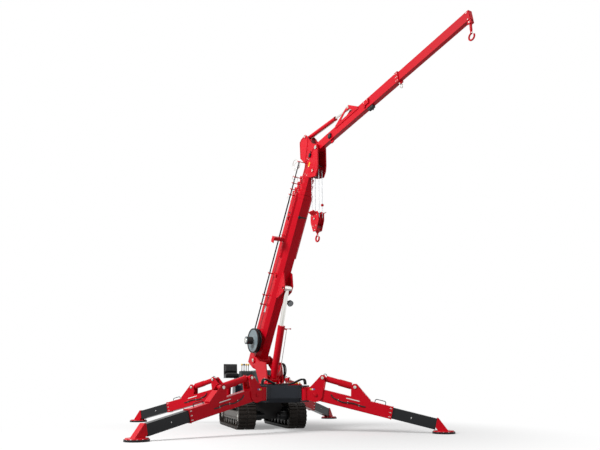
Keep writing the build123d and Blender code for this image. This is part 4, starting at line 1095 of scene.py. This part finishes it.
# Rope falls: laid steel wire rope whose bright strands wind round each fall; it is reeved
# between the head's sheaves and the block's.
GROOVE_TONE = (0.24, 0.25, 0.27, 1.0)
STRAND_TONE = (0.70, 0.72, 0.75, 1.0)
rope = bpy.data.materials.new("steel_rope")
rope.use_nodes = True
rope_shader = rope.node_tree.nodes["Principled BSDF"]
rope_place = node(rope.node_tree, "ShaderNodeTexCoord")
rope_turn = node(rope.node_tree, "ShaderNodeMapping")
rope_turn.inputs["Rotation"].default_value = (0.0, 0.6, 0.5)
lay = node(rope.node_tree, "ShaderNodeTexWave", wave_type="BANDS", bands_direction="Z")
lay.inputs["Scale"].default_value = 26.0
wire(rope.node_tree, rope_place.outputs["Object"], rope_turn.inputs["Vector"])
wire(rope.node_tree, rope_turn.outputs["Vector"], lay.inputs["Vector"])
rope_tone = blended(rope.node_tree, lay.outputs["Fac"], GROOVE_TONE, STRAND_TONE)
wire(rope.node_tree, rope_tone, rope_shader.inputs["Base Color"])
rope_bump = node(rope.node_tree, "ShaderNodeBump")
rope_bump.inputs["Strength"].default_value = 0.6
rope_bump.inputs["Distance"].default_value = 0.002
wire(rope.node_tree, lay.outputs["Fac"], rope_bump.inputs["Height"])
wire(rope.node_tree, rope_bump.outputs["Normal"], rope_shader.inputs["Normal"])
rope_shader.inputs["Metallic"].default_value = 0.7
rope_shader.inputs["Roughness"].default_value = 0.42
dress("steel_rope", rope)


# Hook gear: screws on the block's sheave axle and crosshead, a red stop on one fall, a steel
# spreader between the falls, and sprung latches across both hooks' throats.
PLUMB = on_boom(*SHEAVE)
PLUMB_AXES = (OUT, UP, FLANK)
BLOCK_SCREWS = ((-0.09, 1.080), (0.09, 1.080), (-0.06, 1.330), (0.06, 1.330), (0.0, 1.420))


def on_plumb(out, drop, flank=0.0):
    """A point of the hook block: metres out from the falls' middle, below the head sheave."""
    return PLUMB + OUT * out - UP * drop + FLANK * flank


bm = bmesh.new()
for side in (-1, 1):
    screw(bm, on_plumb(0.0, 1.165, side * 0.092), FLANK * side, 0.018, 0.012)
    for out, drop in BLOCK_SCREWS:
        screw(bm, on_plumb(out, drop, side * 0.078), FLANK * side, 0.010, 0.008)
finished("block_screws", bm, zinc, "block")
bm = bmesh.new()
ball(bm, on_plumb(0.150, 0.860, -0.044), 0.034, 14)
finished("fall_stop", bm, red_paint, "block")
bm = bmesh.new()
slab(bm, on_plumb(0.0, 1.040, 0.0), PLUMB_AXES, (0.340, 0.012, 0.030), 0.003)
finished("block_spreader", bm, dark_steel, "block")

for word, centre, bowl, body in (
    ("main", on_plumb(0.0, 1.620), 0.068, "hook"),
    ("searcher", on_jib(*TIP_PIN) - UP * 0.270, 0.062, "tip_hook"),
):
    bm = bmesh.new()
    point = centre + OUT * bowl * 0.80 + UP * bowl * 0.42
    root = centre + OUT * bowl * 0.26 + UP * bowl * 1.12
    middle = (point + root) / 2
    latch_along = (root - point).normalized()
    latch_axes = (latch_along, FLANK.cross(latch_along), FLANK)
    slab(bm, middle, latch_axes, ((root - point).length + 0.012, 0.004, 0.022), 0.001)
    rod(bm, root - FLANK * 0.017, root + FLANK * 0.017, 0.006, 14)
    finished(f"{word}_hook_latch", bm, zinc, body)


# Floor and light: a pale studio floor that runs into a white background,
# one large soft lamp high on the picture's left and a weaker one on its right.
LIT_PAPER = (0.30, 0.30, 0.30, 1.0)
SEEN_PAPER = (0.93, 0.93, 0.93, 1.0)
SKY_LIGHT = 0.2


def direct_rays(tree, path):
    """A mask of what the camera sees directly, in a mirror or through glass."""
    seen_rays = (path.outputs["Is Camera Ray"], path.outputs["Is Glossy Ray"])
    seen_or_mirrored = arithmetic(tree, "MAXIMUM", *seen_rays)
    return arithmetic(tree, "MAXIMUM", seen_or_mirrored, path.outputs["Is Transmission Ray"])


floor_mesh = bpy.data.meshes.new("floor")
bm = bmesh.new()
bmesh.ops.create_circle(bm, cap_ends=True, segments=96, radius=120.0)
bm.to_mesh(floor_mesh)
bm.free()
floor = bpy.data.objects.new("floor", floor_mesh)
bpy.context.scene.collection.objects.link(floor)
floor_paper = bpy.data.materials.new("floor_paper")
floor_paper.use_nodes = True
floor_tree = floor_paper.node_tree
floor_shader = floor_tree.nodes["Principled BSDF"]
floor_shader.inputs["Roughness"].default_value = 0.9
floor_place = node(floor_tree, "ShaderNodeTexCoord")
floor_reach = node(floor_tree, "ShaderNodeVectorMath", operation="LENGTH")
wire(floor_tree, floor_place.outputs["Object"], floor_reach.inputs[0])
fade = node(floor_tree, "ShaderNodeMapRange", clamp=True, interpolation_type="SMOOTHSTEP")
fade.inputs["From Min"].default_value = 2.0
fade.inputs["From Max"].default_value = 6.8
fade.inputs["To Min"].default_value = 0.25
wire(floor_tree, floor_reach.outputs["Value"], fade.inputs["Value"])
seen = node(floor_tree, "ShaderNodeLightPath")
paper = blended(floor_tree, seen.outputs["Is Camera Ray"], LIT_PAPER, SEEN_PAPER)
wire(floor_tree, paper, floor_shader.inputs["Base Color"])
direct = direct_rays(floor_tree, seen)
glow = node(floor_tree, "ShaderNodeEmission")
glow.inputs["Color"].default_value = (1.0, 1.0, 1.0, 1.0)
floor_mix = node(floor_tree, "ShaderNodeMixShader")
floor_glow = arithmetic(floor_tree, "MULTIPLY", direct, fade.outputs["Result"])
wire(floor_tree, floor_glow, floor_mix.inputs["Fac"])
wire(floor_tree, floor_shader.outputs["BSDF"], floor_mix.inputs[1])
wire(floor_tree, glow.outputs["Emission"], floor_mix.inputs[2])
floor_output = floor_tree.nodes["Material Output"]
wire(floor_tree, floor_mix.outputs["Shader"], floor_output.inputs["Surface"])
floor_mesh.materials.append(floor_paper)

world = bpy.data.worlds.new("studio")
bpy.context.scene.world = world
world.use_nodes = True
world_tree = world.node_tree
background = world_tree.nodes["Background"]
background.inputs["Color"].default_value = (1.0, 1.0, 1.0, 1.0)
world_path = node(world_tree, "ShaderNodeLightPath")
plain_view = direct_rays(world_tree, world_path)
strength = arithmetic(world_tree, "MULTIPLY", plain_view, 1.0 - SKY_LIGHT)
strength = arithmetic(world_tree, "ADD", strength, SKY_LIGHT)
wire(world_tree, strength, background.inputs["Strength"])


def soft_lamp(name, size, power, spot, aim):
    """A square soft lamp aimed at a point."""
    lamp_data = bpy.data.lights.new(name, "AREA")
    lamp_data.shape = "SQUARE"
    lamp_data.size = size
    lamp_data.energy = power
    lamp = bpy.data.objects.new(name, lamp_data)
    lamp.location = spot
    lamp.rotation_euler = (Vector(aim) - Vector(spot)).to_track_quat("-Z", "Y").to_euler()
    bpy.context.scene.collection.objects.link(lamp)


soft_lamp("key_lamp", 6.0, 2900.0, (-13.0, -3.0, 11.0), (0.0, 1.2, 2.5))
soft_lamp("fill_lamp", 8.0, 480.0, (7.0, -13.0, 6.0), (0.5, 1.2, 2.0))

bpy.context.scene.view_settings.view_transform = "Standard"
